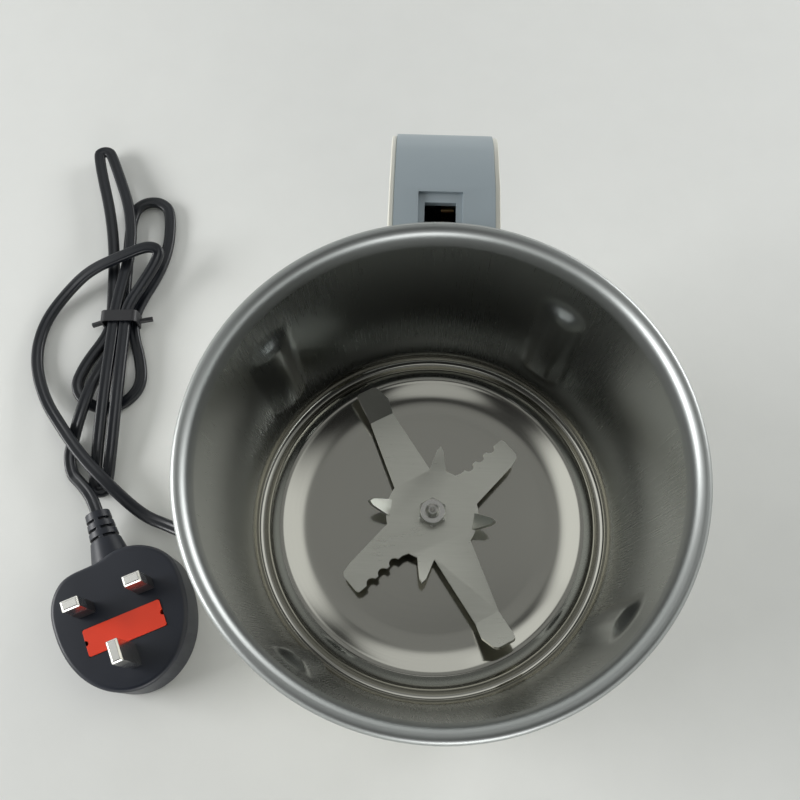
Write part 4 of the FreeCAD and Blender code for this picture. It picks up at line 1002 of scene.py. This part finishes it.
# %% The plastics, rubber, carbon and ceramic
plastics = {
    "white_plastic": ("white_plastic", (0.66, 0.65, 0.58), (0.71, 0.70, 0.63), 0.34),
    "grey_plastic": ("grey_plastic", (0.275, 0.325, 0.355), (0.305, 0.355, 0.385), 0.38),
    "black_plastic": ("black_plastic", (0.012, 0.012, 0.014), (0.022, 0.022, 0.025), 0.45),
    "rubber_black": ("black_rubber", (0.010, 0.011, 0.013), (0.020, 0.021, 0.024), 0.58),
    "lead_black": ("cord_skin", (0.004, 0.005, 0.008), (0.008, 0.010, 0.014), 0.34, 700.0),
    "plug_black": ("plug_skin", (0.005, 0.007, 0.014), (0.010, 0.013, 0.022), 0.42, 700.0, 0.02),
    "carrier_red": ("red_plastic", (0.66, 0.034, 0.010), (0.78, 0.050, 0.014), 0.30),
    "carbon": ("carbon", (0.03, 0.03, 0.03), (0.06, 0.06, 0.06), 0.60),
    "fuse_ceramic": ("ceramic", (0.70, 0.70, 0.66), (0.80, 0.80, 0.76), 0.25),
}
for slot, values in plastics.items():
    finishes[slot] = moulded(*values)
print("finishes", len(finishes))

# %% [markdown]
# The pieces of the model keep the slots that its record gives them, and the
# new pieces carry theirs. Two loops dress all of them, so none is left in the
# grey that it was loaded with.

# %% Every piece gets its finish
slot_of = {part["node"]: part["material_slot"] for part in frame["record"]["subparts"]}


def dress(piece, slot):
    piece.data.materials.clear()
    piece.data.materials.append(finishes[slot])


for node, piece in nodes.items():
    dress(piece, slot_of[node])
new_pieces = [piece for piece in bpy.context.scene.objects if "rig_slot" in piece]
for piece in new_pieces:
    dress(piece, piece["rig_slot"])
print("dressed", len(nodes), "model pieces and", len(new_pieces), "new ones")

# %% [markdown]
# The mill stands on a pale table. It is one plane, six metres wide, so that
# none of its edges shows where the camera looks down, and it is nearly flat
# in colour, because the soft shadows of the mill are what it is there for.

# %% Table
bpy.ops.object.select_all(action="DESELECT")
bpy.ops.mesh.primitive_plane_add(size=6.0, location=(0, 0, 0))
table = named("table")
table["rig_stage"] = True
table.data.materials.append(moulded("table_top", (0.74, 0.75, 0.73), (0.78, 0.79, 0.77), 0.6, 60.0))
print("table", table.dimensions.x, "m")

# %% [markdown]
# A large soft box stands low at the left, and two smaller ones, behind at the
# right and in front, fill the shadows. Bare lamps would give hard shadows and
# small hot spots in the steel. Wide ones give long soft bands.

# %% Soft boxes
lit_spot = Vector((0, 0, 0.05))
for name, place, width, depth, power in (
        ("key_left", (-1.45, -0.10, 0.62), 1.0, 0.5, 20.0),
        ("fill_right", (1.15, 0.95, 0.50), 0.8, 0.4, 10.0),
        ("fill_front", (0.30, -1.45, 0.40), 0.8, 0.4, 7.0)):
    light = bpy.data.lights.new(name, "AREA")
    light.shape = "RECTANGLE"
    light.size, light.size_y = width, depth
    light.energy = power
    lamp = bpy.data.objects.new(name, light)
    bpy.context.scene.collection.objects.link(lamp)
    lamp.location = place
    lamp.rotation_euler = (lit_spot - Vector(place)).to_track_quat("-Z", "Y").to_euler()
    print(name, power, "W")

# %% [markdown]
# Steel looks like the room that it mirrors. An even white room would make it
# flat, and a dark one black. So the room is bright low down, all round, and
# dim straight up. Patches of light stand for lamps and pale walls, and a wide
# dark one in front gives the dark shape in the far wall of the cup.

# %% World
world = bpy.data.worlds.new("studio")
bpy.context.scene.world = world
world.use_nodes = True
sky = Wiring(world.node_tree)
direction = sky.node("ShaderNodeTexCoord", output="Generated")
upwards = sky.node("ShaderNodeSeparateXYZ", None, {0: direction}, 2)
room_level, ceiling_level = 1.2, 0.05
brightness = room_level + sky.step(upwards, 0.22, 0.55) * (ceiling_level - room_level)


def patch(towards, inner_deg, outer_deg):
    """1 inside a round patch of the sky, falling to 0 at its outer edge."""
    facing = sky.node("ShaderNodeVectorMath", {"operation": "DOT_PRODUCT"},
                      {0: direction, 1: Vector(towards).normalized()}, "Value")
    return sky.step(facing, math.cos(deg(outer_deg)), math.cos(deg(inner_deg)))


# %% Patches of the room: where, its two radii in degrees, and how bright
patches = (
    ((0.48, 0.25, 0.84), 12, 22, 0.85),
    ((-0.48, 0.20, 0.84), 12, 22, 0.95),
    ((0.00, 0.62, 0.78), 8, 16, 0.70),
    ((-0.27, 0.58, 0.77), 7, 13, 0.85),
    ((0.03, 0.24, 0.97), 9, 13, 0.26),
    ((0.22, -0.55, 0.80), 26, 46, 0.02),
    ((0.02, -0.20, 0.98), 6, 11, 0.50),
)
for towards, inner, outer, patch_level in patches:
    brightness = brightness + patch(towards, inner, outer) * (patch_level - brightness)
room_tint = (0.98, 1.0, 0.975, 1)
sky.feed(world.node_tree.nodes["Background"], {"Color": room_tint, "Strength": brightness})
bpy.context.scene.view_settings.view_transform = "Standard"
print("patches", len(patches))

# %% [markdown]
# Last, the box of the looks is held against the box of the model. Soft
# edges and a smooth cord must not make the mill bigger than it was drawn, so
# the largest change of a side is printed.

# %% Sizes
visual_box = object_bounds()
growth = max(max(abs(a - b) for a, b in zip(p, q)) for p, q in zip(cad_box, visual_box))
print("largest change of a side", round(growth / mm, 2), "mm")
